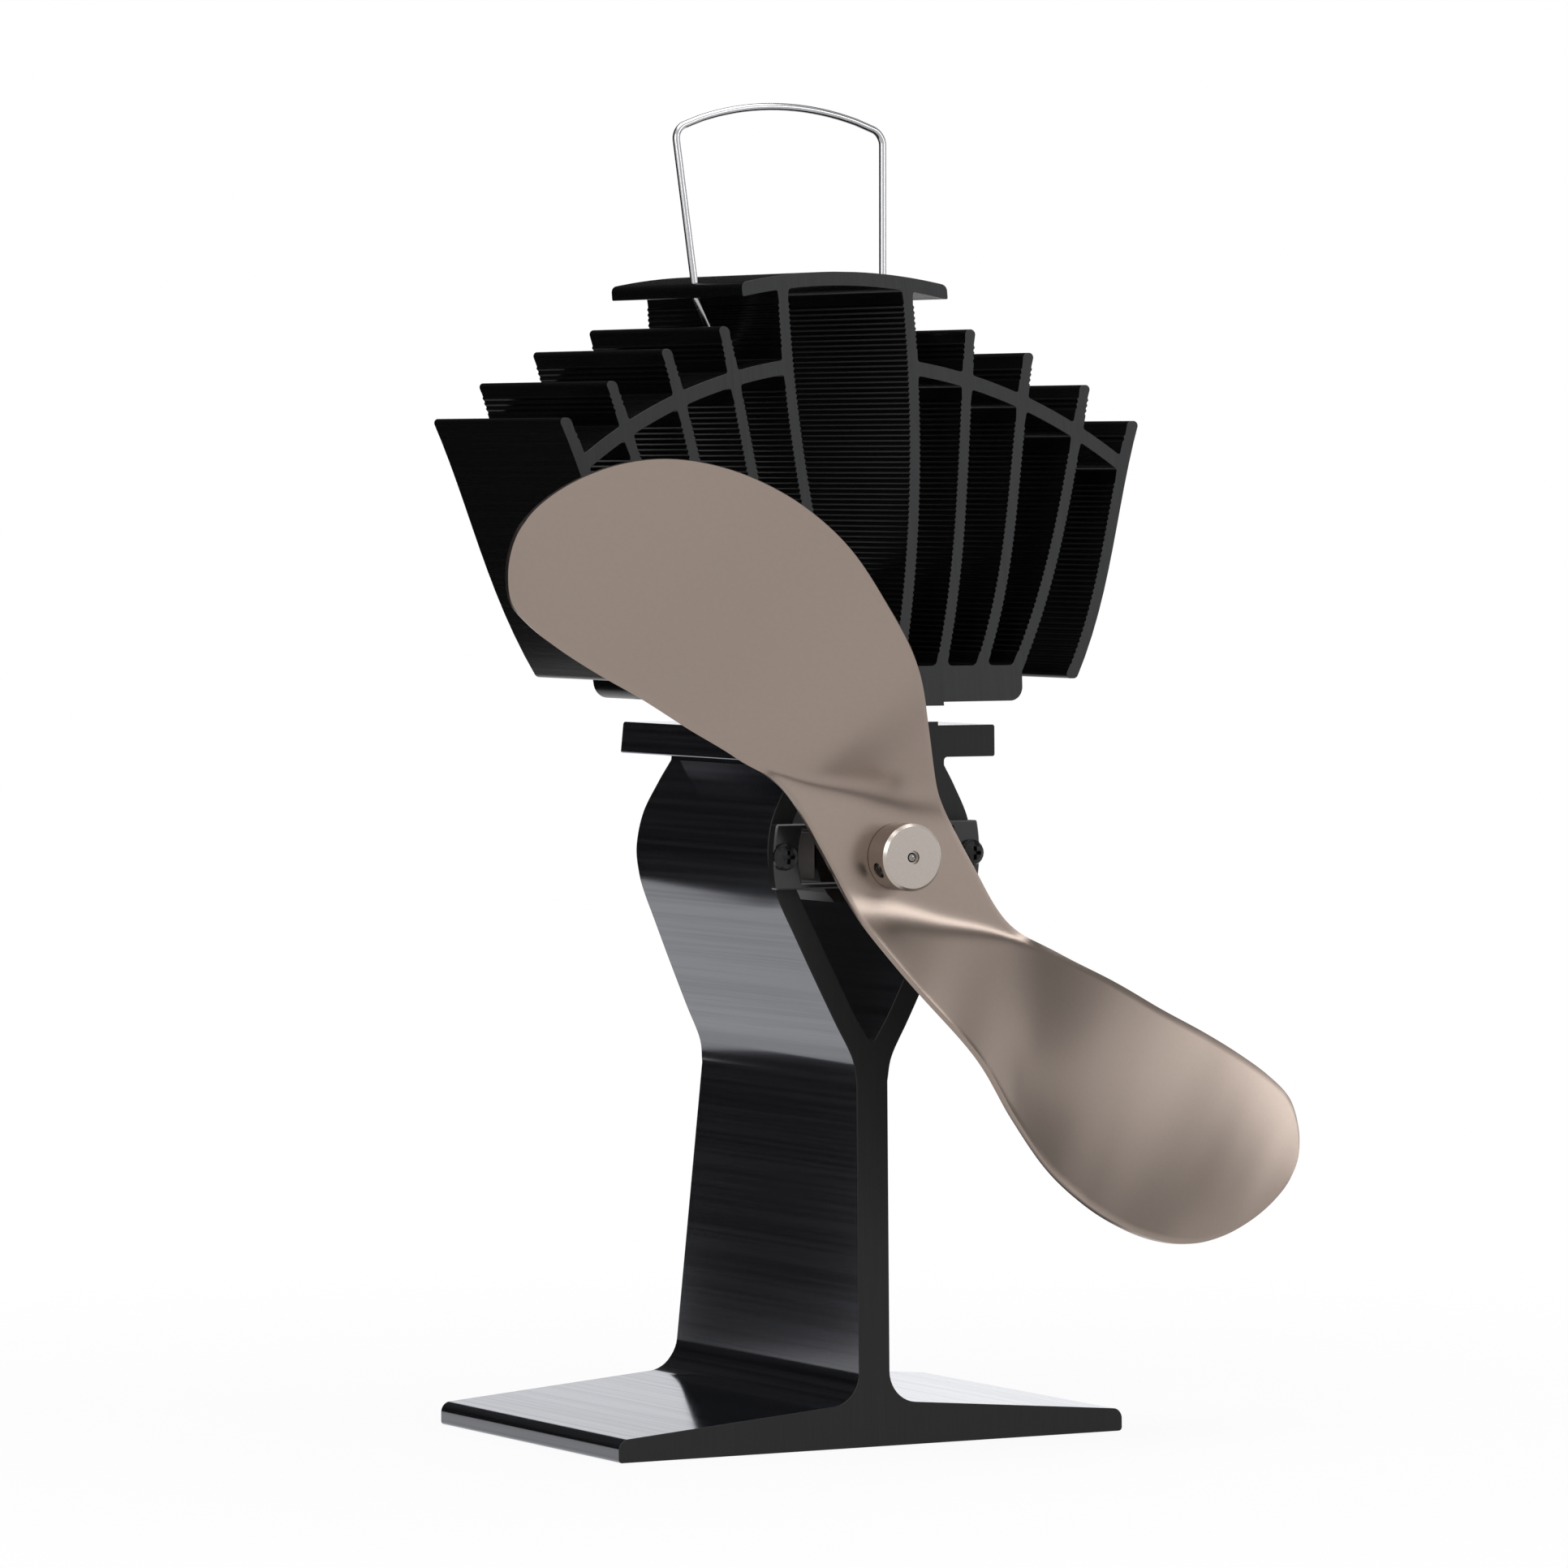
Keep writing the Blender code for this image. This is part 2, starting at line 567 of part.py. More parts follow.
def make_stand():
    """The foot, neck, ring of two arms and top plate, sawn from one black anodised extrusion."""
    half_foot = FOOT_WIDTH / 2
    half_neck = NECK_THICKNESS / 2
    half_plate = PLATE_WIDTH / 2
    outer = [(half_foot, 0, FOOT_CORNER_RADIUS),
             (half_foot, FOOT_END_HEIGHT, FOOT_EDGE_RADIUS),
             (half_neck, FOOT_ROOT_HEIGHT, NECK_FILLET)]
    arm = arm_side(0)
    outer += [(point.x, point.y, 0) for point in arm]
    outer += [(arm[-1].x, PLATE_UNDERSIDE, PLATE_FILLET),
              (half_plate, PLATE_UNDERSIDE, SAW_EDGE_RADIUS),
              (half_plate, PLATE_TOP, SAW_EDGE_RADIUS),
              (LAND_HALF_WIDTH, PLATE_TOP, 0),
              (LAND_HALF_WIDTH, PLATE_TOP + LAND_HEIGHT, 0)]
    inner = [(point.x, point.y, 0) for point in arm_side(ARM_THICKNESS)
             if point.y > ARM_CROTCH_HEIGHT + ARM_THICKNESS and point.y < PLATE_UNDERSIDE - PLATE_FILLET]
    roof = PLATE_UNDERSIDE + LAND_RELIEF
    inner = [(0, ARM_CROTCH_HEIGHT, PLATE_FILLET)] + inner + [(inner[-1][0], roof, PLATE_FILLET)]
    inside = inner + [(-x, z, radius) for x, z, radius in reversed(inner[1:])]
    stand = extrusion("base_extrusion", [rounded(both_sides(outer)), rounded(inside)], FRONT_FACE, -FRONT_FACE)
    saw_ends(stand, stand_front, stand_back, STAND_BACK_KINK)
    for side, place in (("front", -BOLT_SPREAD), ("rear", BOLT_SPREAD)):
        hole = rod("plate_hole_" + side, BOLT_DIAMETER / 2 + GAP, PLATE_THICKNESS + LAND_HEIGHT + 2 * OVERRUN,
                   (0, MODULE_Y + place, PLATE_UNDERSIDE + PLATE_THICKNESS / 2))
        boolean(stand, hole)
    for side in (-1, 1):
        hole = rod("arm_hole_" + str(side), SCREW_DIAMETER / 2 + GAP, 2 * SCREW_DEPTH,
                   (side * SCREW_SPREAD, stand_front(AXIS_HEIGHT), AXIS_HEIGHT), FRONTWARDS)
        boolean(stand, hole)
    pocket_top = STRIP_FLOOR_CLEARANCE + STRIP_THICKNESS + GAP
    pocket = box("strip_pocket", (STRIP_LENGTH + 2 * STRIP_SIDE_CLEARANCE, STRIP_WIDTH + 2 * STRIP_SIDE_CLEARANCE,
                                  2 * pocket_top), (0, STRIP_Y, 0))
    boolean(stand, pocket)
    rivet_hole = rod("rivet_hole", RIVET_DIAMETER / 2 + GAP, 2 * (RIVET_DEPTH + GAP),
                     (RIVET_INSET - STRIP_LENGTH / 2, STRIP_Y, pocket_top))
    boolean(stand, rivet_hole)
    return keep(stand, ANODISED)


class Line:
    """The middle line of a wall or a fin, from its foot to its tip."""

    def __init__(self, shares, thickness, foot, tip):
        self.places = [share * SINK_HALF_WIDTH for share in shares]
        self.half = thickness / 2
        self.foot = foot
        self.tip = tip

    def middle(self, height):
        """X of the middle line at a height, on the cubic through its four places."""
        share = (height - self.foot) / (self.tip - self.foot)
        total = 0
        for index, place in enumerate(self.places):
            weight = 1
            for other, height_share in enumerate(LINE_HEIGHT_SHARES):
                if other != index:
                    weight *= (share - height_share) / (LINE_HEIGHT_SHARES[index] - height_share)
            total += place * weight
        return total

    def side(self, height, direction):
        """X of one of its two sides at a height, out (1) or in (-1)."""
        step = self.half / 4
        slope = (self.middle(height + step) - self.middle(height - step)) / (2 * step)
        return self.middle(height) + direction * self.half * sqrt(1 + slope * slope)

    def meet(self, direction, height_at):
        """The height where one side meets a curve that gives height by X."""
        height = self.tip
        for _ in range(30):
            height = height_at(self.side(height, direction))
        return height

    def run(self, direction, start, end):
        """Corners along one side, between two heights and clear of both."""
        spacing = 5 * self.half
        count = max(2, round(abs(end - start) / spacing))
        heights = [start + (end - start) * index / count for index in range(1, count)]
        return [(self.side(height, direction), height, 0) for height in heights]

    def end(self, height, first):
        """The two corners of a round end, the first one on the side named."""
        return [(self.side(height, way), height, self.half) for way in (first, -first)]


def web_height(x, offset):
    """Height of the web's middle arc, moved by an offset, at a distance from the centre plane."""
    return WEB_CROWN_HEIGHT - WEB_RADIUS + sqrt((WEB_RADIUS + offset) ** 2 - x * x)


def cap_height(x, offset):
    """Height of the cap's top, moved by an offset. The cap is concentric with the hub."""
    return AXIS_HEIGHT + sqrt((CAP_RADIUS + offset) ** 2 - x * x)


def arc_run(height_at, start, end, offset):
    """Corners along an arc between two distances from the centre plane, clear of both."""
    count = 4
    places = [start + (end - start) * index / count for index in range(1, count)]
    return [(x, height_at(x, offset), 0) for x in places]


def fin_tip_height(share):
    """Height of a fin's tip on the circle about the hub."""
    return AXIS_HEIGHT + sqrt(FIN_TIP_CIRCLE ** 2 - (share * SINK_HALF_WIDTH) ** 2)


def sink_lines():
    """The middle lines of the wall and of the four fins on one side."""
    wall_tip = cap_height(0, -CAP_THICKNESS)
    lines = [Line(WALL_SHARES, WALL_THICKNESS, BLOCK_TOP, wall_tip)]
    for index, shares in enumerate(FIN_SHARES):
        hangs = index == len(FIN_SHARES) - 1
        foot = HANGING_FIN_HEIGHT if hangs else BLOCK_TOP
        lines.append(Line(shares, FIN_THICKNESS, foot, fin_tip_height(shares[-1])))
    return lines


def sink_outer(lines):
    """The right half of the heat sink's outer outline, from the land up to the cap's crown."""
    wall = lines[0]
    fins = lines[1:]
    last = fins[-1]
    carried = fins[-2]
    half_web = WEB_THICKNESS / 2

    def web_under(x):
        return web_height(x, -half_web)

    def web_over(x):
        return web_height(x, half_web)

    def cap_under(x):
        return cap_height(x, -CAP_THICKNESS)

    corners = [(LAND_HALF_WIDTH, SINK_LAND, 0),
               (LAND_HALF_WIDTH, BLOCK_UNDERSIDE, 0),
               (BLOCK_HALF_WIDTH, BLOCK_UNDERSIDE + LAND_RELIEF, BLOCK_CORNER_RADIUS)]
    under = carried.meet(1, web_under)
    corners += carried.run(1, BLOCK_TOP - SINK_FILLET, under)
    corners.append((carried.side(under, 1), under, SINK_FILLET))
    meeting = last.meet(-1, web_under)
    corners += arc_run(web_height, carried.side(under, 1), last.side(meeting, -1), -half_web)
    corners.append((last.side(meeting, -1), meeting, SINK_FILLET))
    corners += last.run(-1, meeting, last.foot)
    corners += last.end(last.foot, -1)
    corners += last.run(1, last.foot, last.tip)
    for index in range(len(fins) - 1, -1, -1):
        fin = fins[index]
        inner = lines[index]
        corners += fin.end(fin.tip, 1)
        outer_meeting = fin.meet(-1, web_over)
        corners += fin.run(-1, fin.tip, outer_meeting)
        corners.append((fin.side(outer_meeting, -1), outer_meeting, SINK_FILLET))
        inner_meeting = inner.meet(1, web_over)
        corners += arc_run(web_height, fin.side(outer_meeting, -1), inner.side(inner_meeting, 1), half_web)
        corners.append((inner.side(inner_meeting, 1), inner_meeting, SINK_FILLET))
        top = cap_under(inner.side(inner.tip, 1)) if inner is wall else inner.tip
        corners += inner.run(1, inner_meeting, top)
    top = wall.meet(1, cap_under)
    corners.append((wall.side(top, 1), top, SINK_FILLET))
    edge = CAP_WIDTH / 2
    corners += arc_run(cap_height, wall.side(top, 1), edge, -CAP_THICKNESS)
    corners += [(edge, cap_under(edge), CAP_THICKNESS / 2), (edge, cap_height(edge, 0), CAP_THICKNESS / 2)]
    corners += arc_run(cap_height, edge, 0, 0)
    return corners


def sink_cells(lines):
    """The closed cells of the profile: the tall middle one and three on each side."""
    wall = lines[0]
    half_web = WEB_THICKNESS / 2

    def cap_under(x):
        return cap_height(x, -CAP_THICKNESS)

    def web_under(x):
        return web_height(x, -half_web)

    top = wall.meet(-1, cap_under)
    middle = [(wall.side(BLOCK_TOP, -1), BLOCK_TOP, CELL_FILLET)]
    middle += wall.run(-1, BLOCK_TOP, top)
    middle.append((wall.side(top, -1), top, CELL_FILLET))
    middle += arc_run(cap_height, wall.side(top, -1), 0, -CAP_THICKNESS)
    cells = [both_sides(middle)]
    for inner, outer in zip(lines[:-2], lines[1:-1]):
        inner_top = inner.meet(1, web_under)
        outer_top = outer.meet(-1, web_under)
        cell = [(outer.side(BLOCK_TOP, -1), BLOCK_TOP, SINK_FILLET)]
        cell += outer.run(-1, BLOCK_TOP, outer_top)
        cell.append((outer.side(outer_top, -1), outer_top, SINK_FILLET))
        cell += arc_run(web_height, outer.side(outer_top, -1), inner.side(inner_top, 1), -half_web)
        cell.append((inner.side(inner_top, 1), inner_top, SINK_FILLET))
        cell += inner.run(1, inner_top, BLOCK_TOP)
        cell.append((inner.side(BLOCK_TOP, 1), BLOCK_TOP, SINK_FILLET))
        cells += [cell, mirrored(cell)]
    return cells


def make_heat_sink():
    """The finned cooler above the module, sawn at a lean from one black anodised extrusion."""
    lines = sink_lines()
    outlines = [rounded(both_sides(sink_outer(lines)))] + [rounded(cell) for cell in sink_cells(lines)]
    sink = extrusion("heat_sink", outlines, SINK_FRONT_AT_BLOCK, SINK_FRONT_AT_BLOCK + SINK_DEPTH)
    saw_ends(sink, sink_front, sink_back)
    for side, place in (("front", -BOLT_SPREAD), ("rear", BOLT_SPREAD)):
        hole = rod("block_hole_" + side, BOLT_DIAMETER / 2 + GAP, 2 * (BOLT_ENGAGEMENT + GAP),
                   (0, MODULE_Y + place, SINK_LAND))
        boolean(sink, hole)
    wall = lines[0]
    for side in (-1, 1):
        cap_hole = rod("cap_hole_" + str(side), WIRE_DIAMETER / 2 + GAP, 4 * CAP_THICKNESS,
                       (side * HANDLE_HOLE_SPREAD, HANDLE_HOLE_Y, cap_height(HANDLE_HOLE_SPREAD, 0)))
        boolean(sink, cap_hole)
        hook_y = HANDLE_HOLE_Y + HANDLE_LEAN * (HANDLE_HOOK_HEIGHT - cap_height(HANDLE_HOLE_SPREAD, 0))
        hook_hole = rod("wall_hole_" + str(side), WIRE_DIAMETER / 2 + GAP, 3 * WALL_THICKNESS,
                        (side * wall.middle(HANDLE_HOOK_HEIGHT), hook_y, HANDLE_HOOK_HEIGHT), (0, pi / 2, 0))
        boolean(sink, hook_hole)
    return keep(sink, ANODISED)


def make_module():
    """The thermoelectric module: two ceramic plates with semiconductor pellets and a seal between them."""
    size = (MODULE_SIZE, MODULE_SIZE, MODULE_PLATE)
    half_plate = MODULE_PLATE / 2
    hot = box("module_hot_plate", size, (0, MODULE_Y, HOT_PLATE_HEIGHT + half_plate))
    cold = box("module_cold_plate", size, (0, MODULE_Y, COLD_PLATE_HEIGHT + half_plate))
    keep(hot, CERAMIC)
    keep(cold, CERAMIC)
    middle = PELLET_FLOOR + PELLET_HEIGHT / 2
    field = MODULE_SIZE - 2 * SEAL_WIDTH - 2 * GAP
    spacing = field / PELLET_ROWS
    shape = bmesh.new()
    bmesh.ops.create_cube(shape, size=1)
    bmesh.ops.scale(shape, vec=(field, field, PELLET_BRIDGE), verts=shape.verts)
    top = max(shape.faces, key=lambda face: face.calc_center_median().z)
    bmesh.ops.subdivide_edges(shape, edges=top.edges[:], cuts=PELLET_ROWS - 1, use_grid_fill=True)
    cells = [face for face in shape.faces if face.normal.z > 0.5]
    bmesh.ops.inset_individual(shape, faces=cells, thickness=(spacing - PELLET_SIZE) / 2)
    raised = bmesh.ops.extrude_discrete_faces(shape, faces=cells)["faces"]
    lifted = [vert for face in raised for vert in face.verts]
    bmesh.ops.translate(shape, vec=(0, 0, PELLET_HEIGHT - PELLET_BRIDGE), verts=lifted)
    pellets = shape_from_bmesh("module_pellets", shape, smooth=False)
    pellets.location = (0, MODULE_Y, PELLET_FLOOR + PELLET_BRIDGE / 2)
    keep(pellets, PELLET_METAL)
    seal = box("module_seal", (MODULE_SIZE, MODULE_SIZE, PELLET_HEIGHT), (0, MODULE_Y, middle))
    inside = MODULE_SIZE - 2 * SEAL_WIDTH
    boolean(seal, box("seal_window", (inside, inside, 2 * PELLET_HEIGHT), (0, MODULE_Y, middle)))
    keep(seal, SEAL_RUBBER)


def make_clamp():
    """The two socket screws that pull the heat sink down on the module, and their spring washers."""
    washer_middle = PLATE_UNDERSIDE - FILM - WASHER_THICKNESS / 2
    head_top = PLATE_UNDERSIDE - 2 * FILM - WASHER_THICKNESS
    tip = SINK_LAND + BOLT_ENGAGEMENT
    for side, place in (("front", -BOLT_SPREAD), ("rear", BOLT_SPREAD)):
        y = MODULE_Y + place
        head = BOLT_HEAD_DIAMETER / 2
        shank = BOLT_DIAMETER / 2
        profile = [(0, tip - head_top), (shank - FILM, tip - head_top), (shank, tip - head_top - 2 * FILM),
                   (shank, 0), (head, 0), (head, -BOLT_HEAD_HEIGHT), (0, -BOLT_HEAD_HEIGHT)]
        bolt = turned("clamp_bolt_" + side, profile, (0, y, head_top), sides=24)
        socket = rod("bolt_socket_" + side, BOLT_SOCKET / 2, BOLT_HEAD_HEIGHT,
                     (0, y, head_top - BOLT_HEAD_HEIGHT), sides=6)
        boolean(bolt, socket)
        keep(bolt, BLACK_STEEL)
        washer = ring("clamp_washer_" + side, shank + GAP, WASHER_DIAMETER / 2, WASHER_THICKNESS,
                      (0, y, washer_middle), sides=24)
        keep(washer, ZINC_STEEL)


def can_outline(inset):
    """The motor can's section: round sides and a flat top and bottom."""
    radius = CAN_WIDTH / 2 - inset
    flat = CAN_HEIGHT / 2 - inset
    reach = asin(flat / radius)
    steps = 8
    outline = []
    for side in (0, pi):
        for step in range(steps + 1):
            angle = side - reach + 2 * reach * step / steps
            outline.append((radius * cos(angle), AXIS_HEIGHT + radius * sin(angle)))
    return outline


def make_motor():
    """The fixed half of the motor: can, magnets, bearings, end cap, brushes and terminals."""
    can = extrusion("motor_can", [can_outline(0)], CAN_FRONT, CAN_BACK)
    hollow = extrusion("can_hollow", [can_outline(CAN_WALL)], CAN_FRONT + CAN_WALL, CAN_BACK + OVERRUN)
    boolean(can, hollow)
    nose = rod("can_nose_hole", BEARING_DIAMETER / 2 + FILM, 4 * CAN_WALL, (0, CAN_FRONT, AXIS_HEIGHT), FRONTWARDS)
    boolean(can, nose)
    keep(can, ZINC_STEEL)

    middle = CAN_FRONT - BEARING_PROUD + BEARING_LENGTH / 2
    front = ring("front_bearing", BORE_RADIUS, BEARING_DIAMETER / 2, BEARING_LENGTH,
                 (0, middle, AXIS_HEIGHT), FRONTWARDS)
    keep(front, BRASS)

    outer = CAN_WIDTH / 2 - CAN_WALL - FILM
    inner = outer - MAGNET_THICKNESS
    steps = 8
    section = []
    for radius, start, end in ((outer, -1, 1), (inner, 1, -1)):
        for step in range(steps + 1):
            angle = MAGNET_HALF_ANGLE * (start + (end - start) * step / steps)
            section.append((radius * cos(angle), AXIS_HEIGHT + radius * sin(angle)))
    magnet_front = ROTOR_MIDDLE - MAGNET_LENGTH / 2
    for name, way in (("magnet_left", -1), ("magnet_right", 1)):
        outline = [(way * x, z) for x, z in section]
        keep(extrusion(name, [outline], magnet_front, magnet_front + MAGNET_LENGTH), MAGNET_FERRITE)

    cap = extrusion("motor_end_cap", [can_outline(0)], CAN_BACK + FILM, END_CAP_BACK)
    pocket_depth = REAR_BEARING_LENGTH + 2 * FILM
    pocket = rod("bearing_pocket", REAR_BEARING_DIAMETER / 2 + FILM, 2 * pocket_depth,
                 (0, CAN_BACK + FILM, AXIS_HEIGHT), FRONTWARDS)
    boolean(cap, pocket)
    keep(cap, BLACK_PLASTIC)
    rear_middle = CAN_BACK + FILM + pocket_depth - FILM - REAR_BEARING_LENGTH / 2
    rear = ring("rear_bearing", BORE_RADIUS, REAR_BEARING_DIAMETER / 2, REAR_BEARING_LENGTH,
                (0, rear_middle, AXIS_HEIGHT), FRONTWARDS)
    keep(rear, BRASS)

    brush_z = COMMUTATOR_DIAMETER / 2 + FILM + BRUSH_THICKNESS / 2
    brush_y = CAN_BACK - BRUSH_LENGTH / 2
    brush_size = (BRUSH_WIDTH, BRUSH_LENGTH, BRUSH_THICKNESS)
    for name, way in (("brush_lower", -1), ("brush_upper", 1)):
        keep(box(name, brush_size, (0, brush_y, AXIS_HEIGHT + way * brush_z)), COPPER)

    tab_size = (TERMINAL_THICKNESS, TERMINAL_LENGTH, TERMINAL_WIDTH)
    tab_y = END_CAP_BACK + FILM + TERMINAL_LENGTH / 2
    for name, way in (("terminal_left", -1), ("terminal_right", 1)):
        keep(box(name, tab_size, (way * TERMINAL_SPREAD, tab_y, AXIS_HEIGHT)), BRASS)


def arc_band(half_height, radius):
    """X and height of points up a round side, from below the axis to above it."""
    reach = asin(half_height / radius)
    steps = 6
    angles = [reach * (2 * step / steps - 1) for step in range(steps + 1)]
    return [(radius * cos(angle), AXIS_HEIGHT + radius * sin(angle)) for angle in angles]


def make_bracket():
    """The black motor bracket on the arms' front faces, its two cheeks and its screws."""
    half = BRACKET_HEIGHT / 2
    end_radius = (half ** 2 + BRACKET_END_BOW ** 2) / (2 * BRACKET_END_BOW)
    centre = BRACKET_HALF_WIDTH - end_radius
    side = [(centre + x, z) for x, z in arc_band(half, end_radius)]
    outline = side + [(-x, z) for x, z in reversed(side)]
    window_side = arc_band(BRACKET_OPENING_HEIGHT / 2, BRACKET_OPENING_RADIUS)
    window = window_side + [(-x, z) for x, z in reversed(window_side)]
    bracket = extrusion("motor_bracket", [outline, window], BRACKET_FRONT, BRACKET_BACK)
    for direction in (-1, 1):
        hole = rod("bracket_hole_" + str(direction), SCREW_DIAMETER / 2 + GAP, 2 * BRACKET_THICKNESS,
                   (direction * SCREW_SPREAD, BRACKET_BACK, AXIS_HEIGHT), FRONTWARDS, sides=16)
        boolean(bracket, hole)
    keep(bracket, BLACK_PLASTIC)

    cheek_side = arc_band(CHEEK_HEIGHT / 2, CHEEK_RADIUS)
    edge = CAN_WIDTH / 2 + GAP
    section = cheek_side + [(edge, AXIS_HEIGHT + CHEEK_HEIGHT / 2), (edge, AXIS_HEIGHT - CHEEK_HEIGHT / 2)]
    for name, way in (("motor_cheek_left", -1), ("motor_cheek_right", 1)):
        outline = [(way * x, z) for x, z in section]
        keep(extrusion(name, [outline], CAN_FRONT, CAN_FRONT + CHEEK_LENGTH), BLACK_PLASTIC)

    for name, direction in (("bracket_screw_left", -1), ("bracket_screw_right", 1)):
        head = SCREW_HEAD_DIAMETER / 2
        shank = SCREW_DIAMETER / 2
        crown = SCREW_HEAD_HEIGHT
        profile = [(0, crown), (0.55 * head, 0.93 * crown), (0.85 * head, 0.7 * crown), (head, 0.3 * crown), (head, 0),
                   (shank, 0), (shank, -SCREW_DEPTH + 2 * shank), (0, -SCREW_DEPTH + shank)]
        place = (direction * SCREW_SPREAD, BRACKET_FRONT - FILM, AXIS_HEIGHT)
        screw = turned(name, profile, place, FRONTWARDS, sides=20)
        depth = 2 * SCREW_CROSS_DEPTH
        cut_y = BRACKET_FRONT - FILM - crown
        cross = box(name + "_slot", (SCREW_CROSS_LENGTH, depth, SCREW_CROSS_WIDTH), (place[0], cut_y, AXIS_HEIGHT))
        upright = box(name + "_cross", (SCREW_CROSS_WIDTH, depth, SCREW_CROSS_LENGTH), (place[0], cut_y, AXIS_HEIGHT))
        boolean(screw, cross)
        boolean(screw, upright)
        keep(screw, BLACK_STEEL)


def make_handle():
    """The bright wire bail: an arched top, two legs through the cap, and hooks into the walls."""
    cap_level = cap_height(HANDLE_HOLE_SPREAD, 0)
    wall = sink_lines()[0]

    def place(x, height):
        return Vector((x, HANDLE_HOLE_Y + HANDLE_LEAN * (height - cap_level), height))

    hook_tip = wall.middle(HANDLE_HOOK_HEIGHT) - HANDLE_HOOK_REACH
    under_cap = cap_level - 1.1 * CAP_THICKNESS
    top = cap_height(0, 0) + HANDLE_HEADROOM
    arch_radius = (HANDLE_SHOULDER ** 2 + HANDLE_ARCH_RISE ** 2) / (2 * HANDLE_ARCH_RISE)
    arch = []
    arch_steps = 10
    for step in range(arch_steps + 1):
        x = HANDLE_SHOULDER * (1 - 2 * step / arch_steps)
        height = top - arch_radius + sqrt(arch_radius ** 2 - x * x)
        arch.append((place(x, height), 0))
    right = [(place(hook_tip, HANDLE_HOOK_HEIGHT), 0),
             (place(HANDLE_HOOK_OUT, HANDLE_HOOK_HEIGHT), HANDLE_FOOT_BEND),
             (place(HANDLE_HOLE_SPREAD, under_cap), HANDLE_FOOT_BEND)]
    left = [(Vector((-point.x, point.y, point.z)), radius) for point, radius in reversed(right)]
    arch[0] = (arch[0][0], HANDLE_BEND)
    arch[-1] = (arch[-1][0], HANDLE_BEND)
    corners = right + arch + left
    route = [corners[0][0]]
    for index in range(1, len(corners) - 1):
        if corners[index][1] == 0:
            route.append(corners[index][0])
        else:
            route += bent([corners[index - 1], corners[index], corners[index + 1]], 5)[1:-1]
    route.append(corners[-1][0])
    keep(wire("carry_handle", route, WIRE_DIAMETER, 3), BRIGHT_WIRE)


def make_leads():
    """The module's two leads, round the back of the plate and down to the motor's terminals."""
    level = PELLET_FLOOR + PELLET_HEIGHT / 2
    start_y = MODULE_Y + MODULE_SIZE / 2 + FILM
    behind = stand_back(PLATE_UNDERSIDE) + 2 * LEAD_DIAMETER
    below = PLATE_UNDERSIDE - 2 * LEAD_DIAMETER
    for name, direction, material in (("lead_red", 1, RED_SLEEVE), ("lead_black", -1, BLACK_SLEEVE)):
        near = direction * (BOLT_HEAD_DIAMETER / 2 + LEAD_SPREAD)
        far = direction * TERMINAL_SPREAD
        end = (far, END_CAP_BACK + TERMINAL_LENGTH + 2 * FILM + LEAD_DIAMETER / 2, AXIS_HEIGHT)
        corners = [((near, start_y, level), 0),
                   ((near, behind, level), LEAD_DIAMETER * 1.6),
                   ((far, behind, below), LEAD_DIAMETER * 2),
                   ((far, end[1], below - LEAD_DIAMETER * 2), LEAD_DIAMETER * 2),
                   (end, 0)]
        keep(wire(name, bent(corners, 5), LEAD_DIAMETER - 2 * FILM, 1), material)


def make_overheat_strip():
    """The bimetal strip under the foot, riveted at one end, which lifts the fan when the stove is too hot."""
    middle = STRIP_FLOOR_CLEARANCE + STRIP_THICKNESS / 2
    rivet_x = RIVET_INSET - STRIP_LENGTH / 2
    strip = box("overheat_strip", (STRIP_LENGTH, STRIP_WIDTH, STRIP_THICKNESS), (0, STRIP_Y, middle))
    hole = rod("strip_hole", RIVET_DIAMETER / 2 + GAP, 4 * STRIP_THICKNESS, (rivet_x, STRIP_Y, middle))
    boolean(strip, hole)
    keep(strip, ZINC_STEEL)
    top = STRIP_FLOOR_CLEARANCE + STRIP_THICKNESS + RIVET_DEPTH
    under = STRIP_FLOOR_CLEARANCE - FILM
    profile = [(0, top), (RIVET_DIAMETER / 2, top), (RIVET_DIAMETER / 2, under), (RIVET_HEAD_DIAMETER / 2, under),
               (RIVET_HEAD_DIAMETER / 2, under - RIVET_HEAD_HEIGHT + FILM), (0, under - RIVET_HEAD_HEIGHT + FILM)]
    keep(turned("strip_rivet", profile, (rivet_x, STRIP_Y, 0), sides=24), ZINC_STEEL)


